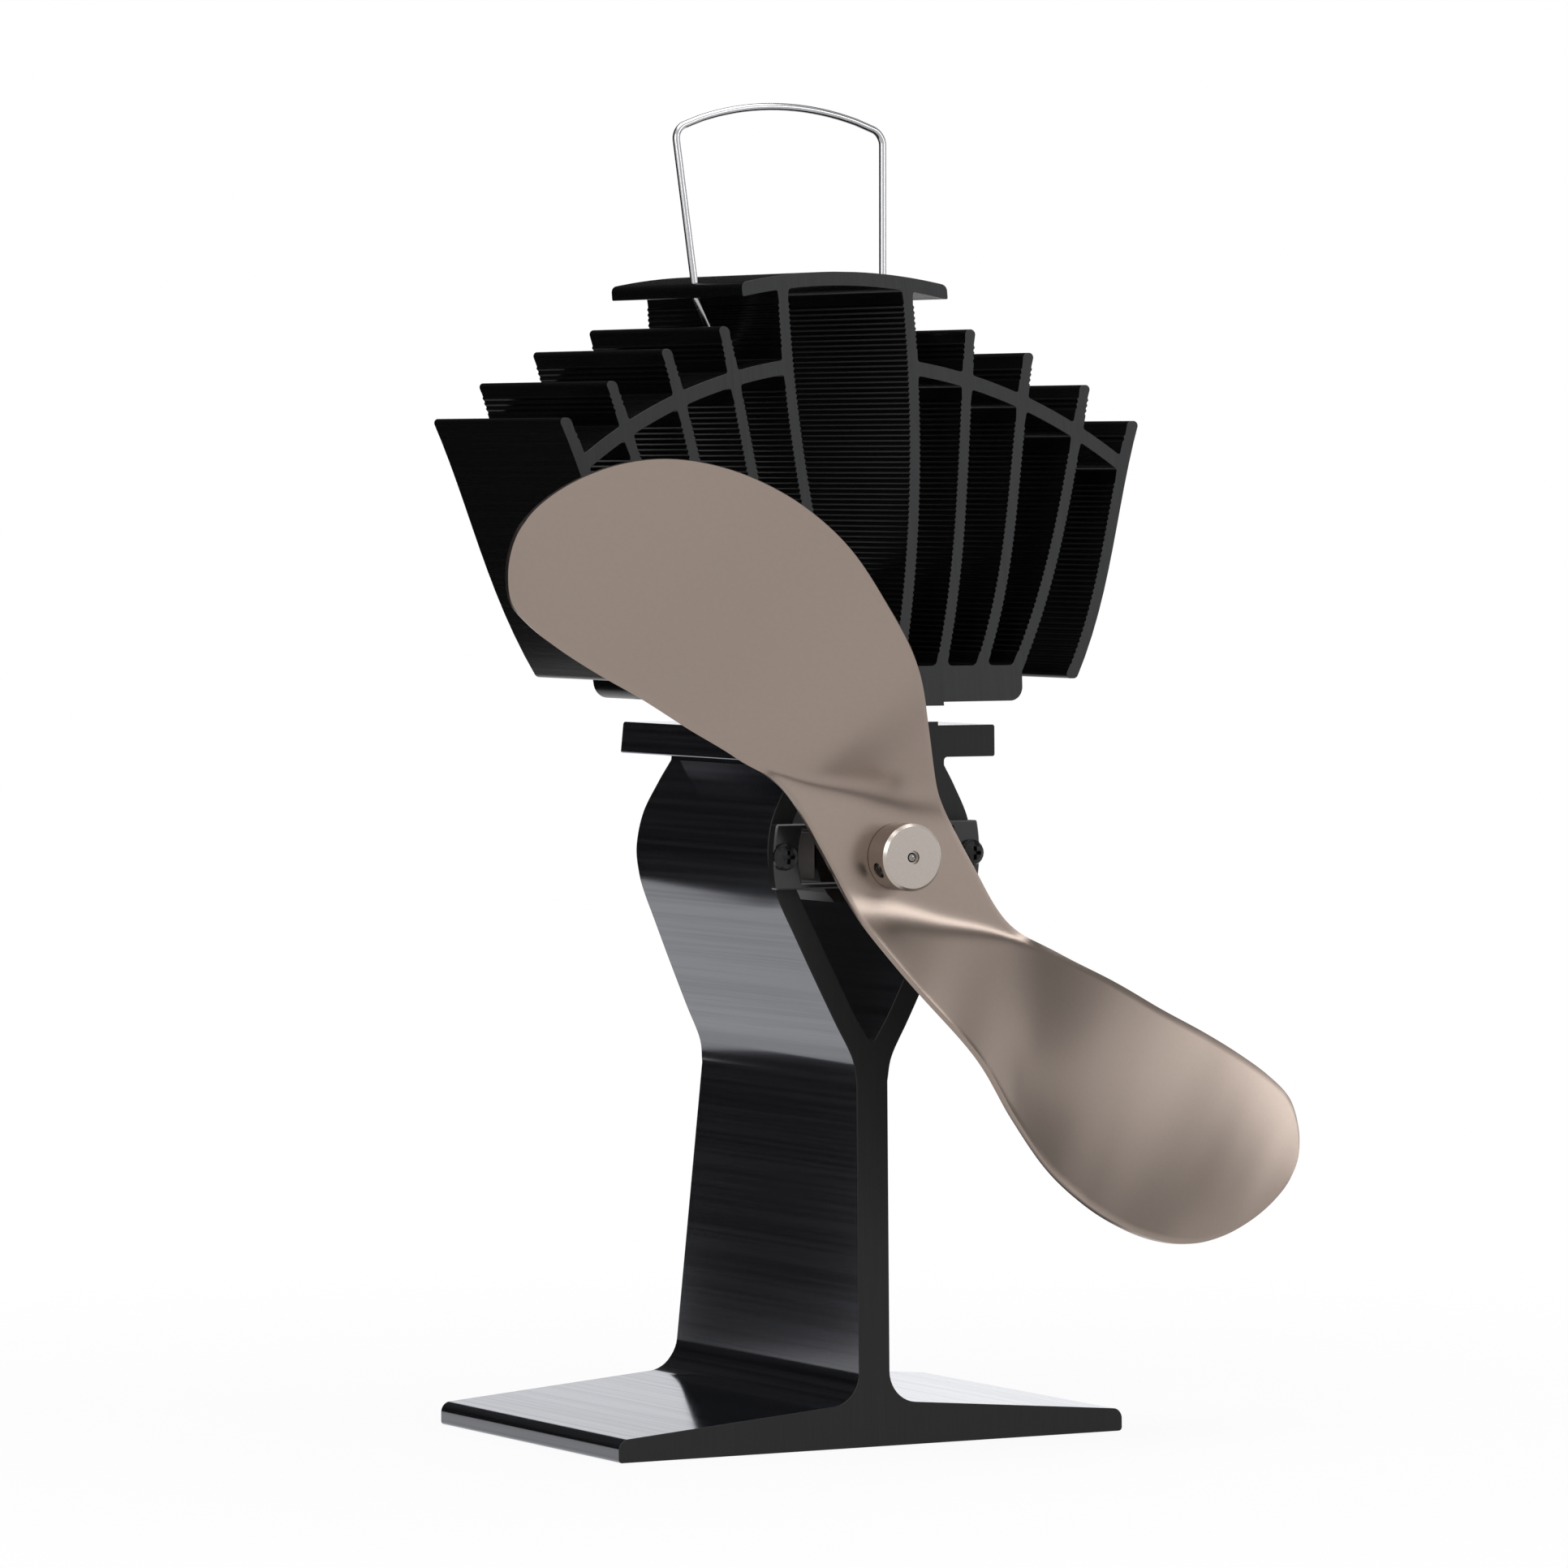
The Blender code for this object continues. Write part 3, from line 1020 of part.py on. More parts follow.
def make_rotor():
    """What turns inside the motor: shaft, laminated core, windings and commutator."""
    front = -HUB_FRONT + SHAFT_RECESS
    back = CAN_BACK + REAR_BEARING_LENGTH
    shaft = rod("motor_shaft", SHAFT_RADIUS, back - front, (0, (front + back) / 2, AXIS_HEIGHT), FRONTWARDS)
    keep(shaft, ZINC_STEEL)

    poles = 3
    radius = ROTOR_DIAMETER / 2
    shoe = radius - ROTOR_SHOE
    boss = ROTOR_BOSS / 2
    half_neck = ROTOR_NECK / 2
    outline = []
    for pole in range(poles):
        aim = pi / 2 + pole * 2 * pi / poles
        half_shoe = pi / poles - ROTOR_SLOT_HALF_ANGLE
        neck_angle = asin(half_neck / shoe)
        steps = 8
        under = [(shoe, neck_angle + (half_shoe - neck_angle) * step / steps) for step in range(steps + 1)]
        corners = [(boss, -asin(half_neck / boss))]
        corners += [(reach, -angle) for reach, angle in under]
        corners += [(radius, half_shoe * (2 * step / steps - 1)) for step in range(steps + 1)]
        corners += list(reversed(under))
        corners.append((boss, asin(half_neck / boss)))
        outline += [(reach * cos(aim + angle), AXIS_HEIGHT + reach * sin(aim + angle)) for reach, angle in corners]
    core = extrusion("rotor_core", [outline], ROTOR_MIDDLE - ROTOR_LENGTH / 2, ROTOR_MIDDLE + ROTOR_LENGTH / 2)
    bore = rod("core_bore", SHAFT_RADIUS + FILM, 2 * ROTOR_LENGTH, (0, ROTOR_MIDDLE, AXIS_HEIGHT), FRONTWARDS)
    boolean(core, bore)
    keep(core, BLACK_STEEL)

    inner = boss + 2 * GAP
    outer = sqrt(shoe ** 2 - (WINDING_WIDTH / 2) ** 2) - GAP
    window = (ROTOR_NECK + 2 * GAP, ROTOR_LENGTH + 2 * GAP, 2 * (outer - inner))
    full = (WINDING_WIDTH, window[1] + 2 * WINDING_OVERHANG, outer - inner)
    for pole in range(poles):
        aim = pole * 2 * pi / poles
        reach = (inner + outer) / 2
        place = (reach * sin(aim), ROTOR_MIDDLE, AXIS_HEIGHT + reach * cos(aim))
        winding = box("rotor_winding_" + str(pole + 1), full, place)
        hole = box("winding_window_" + str(pole + 1), window, place)
        for item in (winding, hole):
            item.rotation_euler = (0, aim, 0)
        boolean(winding, hole)
        keep(winding, COPPER)

    commutator = ring("commutator", SHAFT_RADIUS + FILM, COMMUTATOR_DIAMETER / 2, COMMUTATOR_LENGTH,
                      (0, CAN_BACK - GAP - COMMUTATOR_LENGTH / 2, AXIS_HEIGHT), FRONTWARDS, sides=24)
    keep(commutator, COPPER)


def make_hub():
    """The turned hub on the shaft, its set screw, and the collar that the blade is pinched by."""
    radius = HUB_DIAMETER / 2
    spigot = HUB_SPIGOT_DIAMETER / 2
    tail = HUB_SEAT - COLLAR_BACK
    profile = [(radius - HUB_CHAMFER, HUB_LENGTH), (radius, HUB_LENGTH - HUB_CHAMFER), (radius, 0), (spigot, 0),
               (spigot, tail), (BORE_RADIUS, tail), (BORE_RADIUS, HUB_LENGTH)]
    hub = turned("fan_hub", profile, (0, HUB_SEAT, AXIS_HEIGHT), FRONTWARDS, closed=True, sides=48)
    aim = Vector((cos(SET_SCREW_ANGLE), 0, sin(SET_SCREW_ANGLE)))
    middle_y = HUB_SEAT - HUB_LENGTH / 2
    turn = aim.to_track_quat("Z", "Y").to_euler()
    depth = radius - SHAFT_RADIUS
    hole = rod("set_screw_hole", SET_SCREW_DIAMETER / 2 + GAP, 2 * depth,
               Vector((0, middle_y, AXIS_HEIGHT)) + aim * (SHAFT_RADIUS + depth), turn, sides=24)
    boolean(hub, hole)
    keep(hub, HUB_METAL)

    length = 0.6 * depth
    centre = Vector((0, middle_y, AXIS_HEIGHT)) + aim * (SHAFT_RADIUS + FILM + length / 2)
    screw = rod("hub_set_screw", SET_SCREW_DIAMETER / 2, length, centre, turn, sides=20)
    socket = rod("set_screw_socket", SET_SCREW_SOCKET / 2, length, centre + aim * (length / 2), turn, sides=6)
    boolean(screw, socket)
    keep(screw, BLACK_STEEL)

    collar = ring("blade_collar", spigot + FILM, COLLAR_DIAMETER / 2, COLLAR_THICKNESS,
                  (0, (COLLAR_FRONT + COLLAR_BACK) / 2, AXIS_HEIGHT), FRONTWARDS)
    keep(collar, HUB_METAL)


def blade_edges(share):
    """The two edges of the blade, as shares of its radius, at a signed share of the span's angle."""
    place = abs(share) * (len(BLADE_LOWER_SHARES) - 1)
    lower = smooth_between(BLADE_LOWER_SHARES, place)
    upper = smooth_between(BLADE_UPPER_SHARES, place)
    return (lower, upper) if share >= 0 else (-upper, -lower)


def blade_depth(along, across):
    """How far the sheet stands behind its flat middle, past the two slanting folds beside the hub."""
    way = 1 if sin(BLADE_FOLD_ANGLE) * along >= cos(BLADE_FOLD_ANGLE) * across else -1
    place = asin(way * along / BLADE_RADIUS) / (pi / 2) * (len(BLADE_TWIST_SHARES) - 1)
    twist = smooth_between(BLADE_TWIST_SHARES, place)
    sweep = smooth_between(BLADE_SWEEP_SHARES, place)
    forward = sweep * BLADE_RADIUS - twist * way * across
    if abs(forward) < BLADE_FOLD_SOFTNESS:
        return -(forward + BLADE_FOLD_SOFTNESS) ** 2 / (4 * BLADE_FOLD_SOFTNESS)
    return -max(forward, 0)


def make_blade():
    """The two-lobed fan blade, pressed from one sheet."""
    long_steps = 96
    cross_steps = 10
    shape = bmesh.new()
    bmesh.ops.create_grid(shape, x_segments=long_steps, y_segments=cross_steps, size=1)
    for vert in shape.verts:
        share = vert.co.x
        lower, upper = blade_edges(share)
        along = BLADE_RADIUS * sin(share * pi / 2)
        across = BLADE_RADIUS * (lower + (upper - lower) * (vert.co.y + 1) / 2)
        vert.co = (along, blade_depth(along, across), across)
    bmesh.ops.remove_doubles(shape, verts=shape.verts, dist=0.01 * MM)
    blade = shape_from_bmesh("fan_blade", shape)
    wall = blade.modifiers.new("sheet", "SOLIDIFY")
    wall.thickness = BLADE_THICKNESS
    wall.offset = 0
    blade.location = (0, BLADE_MIDDLE, AXIS_HEIGHT)
    blade.rotation_euler = (0, BLADE_TURN, 0)
    hole = rod("blade_hole", HUB_SPIGOT_DIAMETER / 2 + FILM, 6 * BLADE_THICKNESS,
               (0, BLADE_MIDDLE, AXIS_HEIGHT), FRONTWARDS)
    boolean(blade, hole)
    return keep(blade, BLADE_METAL)


make_stand()
make_heat_sink()
make_module()
make_clamp()
make_motor()
make_bracket()
make_handle()
make_leads()
make_overheat_strip()
make_rotor()
make_hub()
make_blade()
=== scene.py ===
import bmesh
import bpy
from math import asin, atan2, cos, pi, radians, sin, sqrt, tan
from mathutils import Matrix, Vector


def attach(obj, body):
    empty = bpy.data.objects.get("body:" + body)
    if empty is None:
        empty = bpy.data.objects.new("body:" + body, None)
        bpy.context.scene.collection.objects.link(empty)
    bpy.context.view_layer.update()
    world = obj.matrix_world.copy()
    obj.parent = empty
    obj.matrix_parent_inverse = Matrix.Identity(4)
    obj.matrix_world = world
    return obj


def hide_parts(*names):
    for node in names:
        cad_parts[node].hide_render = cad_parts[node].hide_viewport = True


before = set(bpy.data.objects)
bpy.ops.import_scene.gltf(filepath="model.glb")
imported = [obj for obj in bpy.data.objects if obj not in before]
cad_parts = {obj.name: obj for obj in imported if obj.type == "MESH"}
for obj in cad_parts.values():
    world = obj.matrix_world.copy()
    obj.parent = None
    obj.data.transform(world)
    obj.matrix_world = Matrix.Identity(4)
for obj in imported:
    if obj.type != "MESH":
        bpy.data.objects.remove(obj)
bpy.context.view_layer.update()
MM = 0.001

# Camera
# A long lens looks at the fan from its front left, a little above the middle of the stand,
# and two degrees down, as in the photograph.
camera_data = bpy.data.cameras.new("camera")
camera_data.sensor_width = 36
camera_data.lens = 188.744
camera = bpy.data.objects.new("camera", camera_data)
camera.location = (-0.66201, -1.16067, 0.15533)
camera.rotation_euler = (radians(87.845), radians(-0.114), radians(-29.709))
bpy.context.scene.collection.objects.link(camera)
bpy.context.scene.camera = camera
bpy.context.scene.view_settings.view_transform = "Standard"

# Floor and backdrop
# A pale sweep of matt card under the fan, in a white room. Round the fan it takes the fan's
# shadow, and further off it is as white as the room. The dark flags are only mirrored.
FLOOR_REACH = 1.1
FLOOR_COLOUR = (0.9, 0.9, 0.91)
FLOOR_WHITENESS = 0.92
SHADOW_REACH = 0.09
WHITE_REACH = 0.3
ROOM_COLOUR = (0.93, 0.95, 1, 1)
ROOM_STRENGTH = 0.22


class Socket:
    """An output of a finish's nodes. Arithmetic on it adds the Math nodes that do it."""

    def __init__(self, finish, output):
        self.finish = finish
        self.output = output

    def __add__(self, other):
        return self.finish.maths("ADD", self, other)

    def __mul__(self, other):
        return self.finish.maths("MULTIPLY", self, other)

    __radd__ = __add__
    __rmul__ = __mul__


class Finish:
    """A surface finish, built up from procedural nodes on Object coordinates."""

    def __init__(self, name, colour, roughness, metallic=0.0, coat=0.0):
        self.material = bpy.data.materials.new(name)
        self.material.use_nodes = True
        self.tree = self.material.node_tree
        self.shader = self.tree.nodes["Principled BSDF"]
        self.set("Base Color", (*colour, 1))
        self.set("Roughness", roughness)
        self.set("Metallic", metallic)
        self.set("Coat Weight", coat)

    def set(self, name, value):
        """Give one of the shader's sockets a value or a link."""
        self.join(self.shader.inputs[name], value)

    def join(self, socket, value):
        if isinstance(value, Socket):
            self.tree.links.new(value.output, socket)
        else:
            socket.default_value = value

    def node(self, kind, values=None, settings=None, out=0):
        """Add a node with its settings, then its sockets' values or links, and give one output."""
        made = self.tree.nodes.new("ShaderNode" + kind)
        for name, value in (settings or {}).items():
            setattr(made, name, value)
        for name, value in (values or {}).items():
            self.join(made.inputs[name], value)
        return Socket(self, made.outputs[out])

    def maths(self, operation, first, second):
        return self.node("Math", {0: first, 1: second}, {"operation": operation})

    def place(self):
        """The point's place on the piece, in metres."""
        return self.node("TexCoord", out="Object")

    def noise(self, per_metre, detail=2.0, roughness=0.5):
        """Noise with its own number of grains per metre along each axis."""
        stretched = self.node("Mapping", {"Vector": self.place(), "Scale": per_metre})
        return self.node("TexNoise", {"Vector": stretched, "Scale": 1, "Detail": detail,
                                      "Roughness": roughness})

    def ramp(self, value, low, high):
        """0 below low, 1 above high, and smooth between them."""
        return self.node("MapRange", {"Value": value, "From Min": low, "From Max": high},
                         {"interpolation_type": "SMOOTHSTEP"})

    def blend(self, share, first, second):
        """One colour going over to another."""
        return self.node("Mix", {0: share, 6: (*first, 1), 7: (*second, 1)}, {"data_type": "RGBA"}, out=2)

    def relief(self, height, depth):
        """Raise and sink the surface by a height of 0 to 1 times a depth in metres."""
        self.set("Normal", self.node("Bump", {"Height": height, "Distance": depth, "Strength": 1}))


floor_shape = bmesh.new()
bmesh.ops.create_circle(floor_shape, cap_ends=True, segments=96, radius=FLOOR_REACH)
floor_mesh = bpy.data.meshes.new("floor")
floor_shape.to_mesh(floor_mesh)
floor_shape.free()
floor = bpy.data.objects.new("floor", floor_mesh)
bpy.context.scene.collection.objects.link(floor)
card = Finish("pale_card", FLOOR_COLOUR, 0.7)
distance = card.node("VectorMath", {0: card.place()}, {"operation": "LENGTH"}, out="Value")
seen = card.node("LightPath", out="Is Camera Ray")
for kind in ("Is Glossy Ray", "Is Transmission Ray"):
    seen = card.maths("MAXIMUM", seen, card.node("LightPath", out=kind))
white = card.node("Emission", {"Color": (1, 1, 1, 1), "Strength": 1})
whiteness = FLOOR_WHITENESS + (1 - FLOOR_WHITENESS) * card.ramp(distance, SHADOW_REACH, WHITE_REACH)
mixed = card.node("MixShader", {0: seen * whiteness,
                                1: Socket(card, card.shader.outputs[0]), 2: white})
card.join(card.tree.nodes["Material Output"].inputs["Surface"], mixed)
floor_mesh.materials.append(card.material)

felt = Finish("black_felt", (0.01, 0.01, 0.01), 0.9)
fibres = felt.noise((800, 800, 800))
felt.set("Base Color", felt.blend(fibres, (0.006, 0.006, 0.006), (0.014, 0.014, 0.014)))


def flag(name, place, width, height):
    """An upright dark flag that faces the fan and shows only where a surface mirrors it."""
    shape = bmesh.new()
    bmesh.ops.create_grid(shape, x_segments=1, y_segments=1, size=0.5)
    bmesh.ops.scale(shape, vec=(width, height, 1), verts=shape.verts)
    mesh = bpy.data.meshes.new(name)
    shape.to_mesh(mesh)
    shape.free()
    mesh.materials.append(felt.material)
    panel = bpy.data.objects.new(name, mesh)
    panel.location = place
    panel.rotation_euler = (pi / 2, 0, atan2(place[1], place[0]) - pi / 2)
    panel.visible_camera = False
    panel.visible_diffuse = False
    panel.visible_shadow = False
    bpy.context.scene.collection.objects.link(panel)


flag("flag_behind_left", (-0.16, 0.236, 0.31), 0.5, 0.62)
flag("flag_behind_right", (0.42, 0.62, 0.84), 1.0, 1.2)
flag("flag_low_left", (-0.088, 0.143, 0.0225), 0.042, 0.045)
flag("flag_right", (0.69, -0.42, 0.8), 0.4, 0.76)
flag("flag_right_low", (0.822, -0.366, 0.23), 0.44, 0.24)
flag("flag_front", (0.068, -0.188, 0.025), 0.06, 0.05)

room = bpy.data.worlds.new("room")
bpy.context.scene.world = room
room.use_nodes = True
nodes = room.node_tree.nodes
links = room.node_tree.links
white_room = nodes["Background"]
white_room.inputs["Color"].default_value = (1, 1, 1, 1)
white_room.inputs["Strength"].default_value = 1
dim_room = nodes.new("ShaderNodeBackground")
dim_room.inputs["Color"].default_value = ROOM_COLOUR
dim_room.inputs["Strength"].default_value = ROOM_STRENGTH
rays = nodes.new("ShaderNodeLightPath")
clear = rays.outputs["Is Camera Ray"]
for kind in ("Is Glossy Ray", "Is Transmission Ray"):
    either = nodes.new("ShaderNodeMath")
    either.operation = "MAXIMUM"
    links.new(clear, either.inputs[0])
    links.new(rays.outputs[kind], either.inputs[1])
    clear = either.outputs[0]
chosen = nodes.new("ShaderNodeMixShader")
links.new(clear, chosen.inputs[0])
links.new(dim_room.outputs[0], chosen.inputs[1])
links.new(white_room.outputs[0], chosen.inputs[2])
links.new(chosen.outputs[0], nodes["World Output"].inputs["Surface"])

# Lamps
# Soft boxes: a large one overhead, a small bright one at the front right that the blade's lower
# fold mirrors, and one at the left that lights the sawn faces.


def soft_box(name, place, aim, width, height, power, colour=(1, 1, 1)):
    """A rectangular area lamp that faces a point."""
    lamp_data = bpy.data.lights.new(name, "AREA")
    lamp_data.shape = "RECTANGLE"
    lamp_data.size = width
    lamp_data.size_y = height
    lamp_data.energy = power
    lamp_data.color = colour
    lamp = bpy.data.objects.new(name, lamp_data)
    lamp.location = place
    lamp.rotation_euler = (Vector(aim) - Vector(place)).to_track_quat("-Z", "Y").to_euler()
    bpy.context.scene.collection.objects.link(lamp)


soft_box("top_box", (0, -0.1, 1.1), (0, 0, 0.1), 1.0, 1.0, 9)
soft_box("right_box", (0.8, -0.98, 0.54), (0, 0, 0.12), 0.42, 0.46, 2.4, (0.95, 0.98, 1))
soft_box("left_box", (-1.1, -0.7, 0.7), (0, 0, 0.12), 0.5, 0.6, 4)

# Stand
# Foot, neck, ring of two arms and top plate: one length of drawn aluminium, sawn to a slant and
# black anodised. It stands on the stove, and everything else is fixed to it.
FOOT_HALF = 46.6 * MM
FOOT_DEPTH = 61.0 * MM
FOOT_END_HEIGHT = 3.6 * MM
FOOT_ROOT_HEIGHT = 7.2 * MM
FOOT_EDGE_RADIUS = 1.7 * MM
FOOT_CORNER = 0.6 * MM
NECK_HALF = 2.85 * MM
NECK_FILLET = 5.2 * MM
ARM_SPLIT = 58.5 * MM
ARM_BULGE = 18.85 * MM
ARM_THICKNESS = 3.75 * MM
ARM_CROTCH = 64.3 * MM
RING_CORNER = 0.8 * MM
RING_RISE = 0.06 * MM
PLATE_UNDERSIDE = 110.1 * MM
PLATE_TOP = 115.2 * MM
PLATE_HALF = 23.35 * MM
PLATE_CORNER = 0.4 * MM
LAND_HALF = 12.8 * MM
LAND_HEIGHT = 0.6 * MM
STAND_LEAN = 0.02
STAND_BACK_LEAN = 0.182
STAND_BACK_KINK = 9.0 * MM
ARM_COURSE = ((0.152, 0.0), (0.199, 0.078), (0.366, 0.19), (0.584, 0.341), (0.761, 0.467),
              (0.875, 0.548), (0.95, 0.614), (1.0, 0.702), (0.965, 0.808), (0.84, 0.907), (0.735, 0.975))
ARM_STEPS = 8
ARC_STEPS = 10
SAWN_CHAMFER = 0.12 * MM


def rounded(corners):
    """An outline through (x, z, radius) corners, each one eased by an arc of its radius."""
    outline = []
    for index, (x, z, radius) in enumerate(corners):
        corner = Vector((x, z))
        if radius == 0:
            outline.append(corner)
            continue
        back = Vector(corners[index - 1][:2]) - corner
        ahead = Vector(corners[(index + 1) % len(corners)][:2]) - corner
        half = back.angle(ahead) / 2
        reach = min(radius / tan(half), back.length * 0.49, ahead.length * 0.49)
        easing = reach * tan(half)
        centre = corner + (back.normalized() + ahead.normalized()).normalized() * (easing / sin(half))
        first = corner + back.normalized() * reach - centre
        last = corner + ahead.normalized() * reach - centre
        start = atan2(first.y, first.x)
        sweep = (atan2(last.y, last.x) - start + pi) % (2 * pi) - pi
        for step in range(ARC_STEPS + 1):
            angle = start + sweep * step / ARC_STEPS
            outline.append(centre + Vector((cos(angle), sin(angle))) * easing)
    return outline


def both_sides(corners):
    """A closed outline from its right half, listed from bottom to top."""
    return corners + [(-x, z, radius) for x, z, radius in reversed(corners)]


def smooth_between(shares, place):
    """The value of a table at a place counted in its steps, on a smooth curve through its entries."""
    index = min(max(int(place), 0), len(shares) - 2)
    part = place - index
    before = shares[index - 1] if index else 2 * shares[0] - shares[1]
    start = shares[index]
    end = shares[index + 1]
    after = shares[index + 2] if index + 2 < len(shares) else 2 * end - start
    slope_in = (end - before) / 2
    slope_out = (after - start) / 2
    rest = end - start
    return (start + slope_in * part + (3 * rest - 2 * slope_in - slope_out) * part ** 2
            + (slope_in + slope_out - 2 * rest) * part ** 3)


def arm_side(inset):
    """Points up an arm, on its outer side or moved inwards by an inset."""
    rise = PLATE_UNDERSIDE - ARM_SPLIT
    across = [x for x, _ in ARM_COURSE]
    upward = [z for _, z in ARM_COURSE]
    places = [index / ARM_STEPS for index in range((len(ARM_COURSE) - 1) * ARM_STEPS + 1)]
    line = [Vector((smooth_between(across, place) * ARM_BULGE,
                    ARM_SPLIT + smooth_between(upward, place) * rise)) for place in places]
    moved = []
    for index, point in enumerate(line):
        along = (line[min(index + 1, len(line) - 1)] - line[max(index - 1, 0)]).normalized()
        moved.append(point + Vector((-along.y, along.x)) * inset)
    return moved


def drawn_bar(name, outlines, front_at, back_at, chamfer, kink=None):
    """A bar drawn along Y through a profile in XZ, and sawn at both ends to faces given as Y by height."""
    curve = bpy.data.curves.new(name, "CURVE")
    curve.dimensions = "2D"
    curve.fill_mode = "BOTH"
    curve.extrude = 1 - chamfer
    curve.bevel_depth = chamfer
    curve.bevel_resolution = 0
    curve.offset = -chamfer
    for outline in outlines:
        spline = curve.splines.new("POLY")
        spline.points.add(len(outline) - 1)
        for point, spot in zip(spline.points, outline):
            point.co = (spot[0], spot[1], 0, 1)
        spline.use_cyclic_u = True
    drawing = bpy.data.objects.new(name, curve)
    bpy.context.scene.collection.objects.link(drawing)
    bpy.context.view_layer.update()
    mesh = bpy.data.meshes.new_from_object(drawing.evaluated_get(bpy.context.evaluated_depsgraph_get()))
    bpy.data.objects.remove(drawing)
    shape = bmesh.new()
    shape.from_mesh(mesh)
    shape.transform(Matrix.Rotation(pi / 2, 4, "X"))
    bmesh.ops.remove_doubles(shape, verts=shape.verts, dist=0.0005 * MM)
    if kink is not None:
        bmesh.ops.bisect_plane(shape, geom=shape.verts[:] + shape.edges[:] + shape.faces[:], dist=0.001 * MM,
                               plane_co=(0, 0, kink), plane_no=(0, 0, 1))
    for vert in shape.verts:
        ends = front_at(vert.co.z), back_at(vert.co.z)
        from_end = 1 - abs(vert.co.y)
        vert.co.y = ends[0] + from_end if vert.co.y < 0 else ends[1] - from_end
    bmesh.ops.recalc_face_normals(shape, faces=shape.faces)
    for face in shape.faces:
        face.material_index = 1 if abs(face.normal.y) > 0.5 else 0
    shape.to_mesh(mesh)
    shape.free()
    mesh.name = name
    mesh.shade_smooth()
    mesh.set_sharp_from_angle(angle=radians(25))
    bar = bpy.data.objects.new(name, mesh)
    bpy.context.scene.collection.objects.link(bar)
    return bar


def fitted(piece, body, slot, finishes, *stands_for):
    """Give a piece its finishes and fix it to its body in place of the solids it stands for."""
    for finish in finishes:
        piece.data.materials.append(finish.material)
    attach(piece, body)
    if stands_for:
        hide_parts(*stands_for)


def stand_front(height):
    return -FOOT_DEPTH / 2 + STAND_LEAN * height


def stand_back(height):
    return FOOT_DEPTH / 2 - STAND_BACK_LEAN * max(0, height - STAND_BACK_KINK)


outer = [(FOOT_HALF, 0, FOOT_CORNER), (FOOT_HALF, FOOT_END_HEIGHT, FOOT_EDGE_RADIUS),
         (NECK_HALF, FOOT_ROOT_HEIGHT, NECK_FILLET)]
outer += [(point.x, point.y, 0) for point in arm_side(0)]
outer += [(outer[-1][0], PLATE_UNDERSIDE, RING_CORNER), (PLATE_HALF, PLATE_UNDERSIDE, PLATE_CORNER),
          (PLATE_HALF, PLATE_TOP, PLATE_CORNER), (LAND_HALF, PLATE_TOP, 0),
          (LAND_HALF, PLATE_TOP + LAND_HEIGHT, 0)]
inner = [(point.x, point.y, 0) for point in arm_side(ARM_THICKNESS)
         if ARM_CROTCH + ARM_THICKNESS < point.y < PLATE_UNDERSIDE - RING_CORNER]
inner = ([(0, ARM_CROTCH, RING_CORNER)] + inner
         + [(inner[-1][0], PLATE_UNDERSIDE + RING_RISE, RING_CORNER)])
window = inner + [(-x, z, radius) for x, z, radius in reversed(inner[1:])]

drawn_black = Finish("drawn_black_anodising", (0.003, 0.003, 0.0035), 0.25)
die_lines = drawn_black.noise((1100, 7, 1100), 4, 0.65)
broad_lines = drawn_black.noise((260, 6, 260), 5, 0.6)
drawn_black.set("Coat Tint", (0.86, 0.89, 1, 1))
drawn_black.set("Roughness", 0.1 + 0.1 * broad_lines)
drawn_black.set("Coat Weight", 0.75 + 0.25 * drawn_black.ramp(0.6 * die_lines + 0.4 * broad_lines, 0.4, 0.56))
drawn_black.set("Coat Roughness", 0.1)
scored = drawn_black.ramp(die_lines, 0.35, 0.65)
drawn_black.set("Base Color", drawn_black.blend(scored, (0.002, 0.002, 0.0023), (0.014, 0.014, 0.0145)))
drawn_black.relief(0.5 * die_lines + 0.5 * broad_lines, 0.01 * MM)

sawn_black = Finish("sawn_black_anodising", (0.009, 0.009, 0.009), 0.5)
sawn_black.set("Specular IOR Level", 0.25)
saw_marks = sawn_black.noise((1700, 30, 55), 3, 0.6)
sawn_black.set("Base Color", sawn_black.blend(saw_marks, (0.006, 0.006, 0.006), (0.013, 0.013, 0.013)))
sawn_black.relief(saw_marks, 0.012 * MM)

stand = drawn_bar("stand_bar", [rounded(both_sides(outer)), rounded(window)], stand_front, stand_back,
                  SAWN_CHAMFER, STAND_BACK_KINK)
fitted(stand, "stand", "black_anodised_aluminium", (drawn_black, sawn_black), "base_extrusion")

# Heat sink
# Block, two walls, eight curved fins, the web that ties them and the curved cap: one drawn and
# anodised bar, sawn to a lean. The fins and walls have fine ribs, but for the outermost sides.
AXIS = 94.8 * MM
MODULE_Y = (stand_front(PLATE_TOP) + stand_back(PLATE_TOP)) / 2
SINK_DEPTH = 42.8 * MM
SINK_LEAN = 0.147
SINK_SPREAD = 0.011
SINK_HALF = 53.7 * MM
SINK_LAND = 118.4 * MM
BLOCK_UNDERSIDE = 119.0 * MM
BLOCK_TOP = 124.75 * MM
BLOCK_HALF = 27.6 * MM
BLOCK_CORNER = 4.6 * MM
BLOCK_RISE = 0.06 * MM
FIN_THICKNESS = 2.0 * MM
FIN_TIP_CIRCLE = 87.1 * MM
HANGING_FIN_HEIGHT = 122.5 * MM
WALL_THICKNESS = 2.05 * MM
WEB_HALF = 1.15 * MM
WEB_RADIUS = 84.0 * MM
WEB_CENTRE = 89.3 * MM
CAP_RADIUS = 93.05 * MM
CAP_THICKNESS = 2.25 * MM
CAP_HALF = 19.0 * MM
SINK_FILLET = 1.0 * MM
CELL_FILLET = 1.4 * MM
SINK_CHAMFER = 0.05 * MM
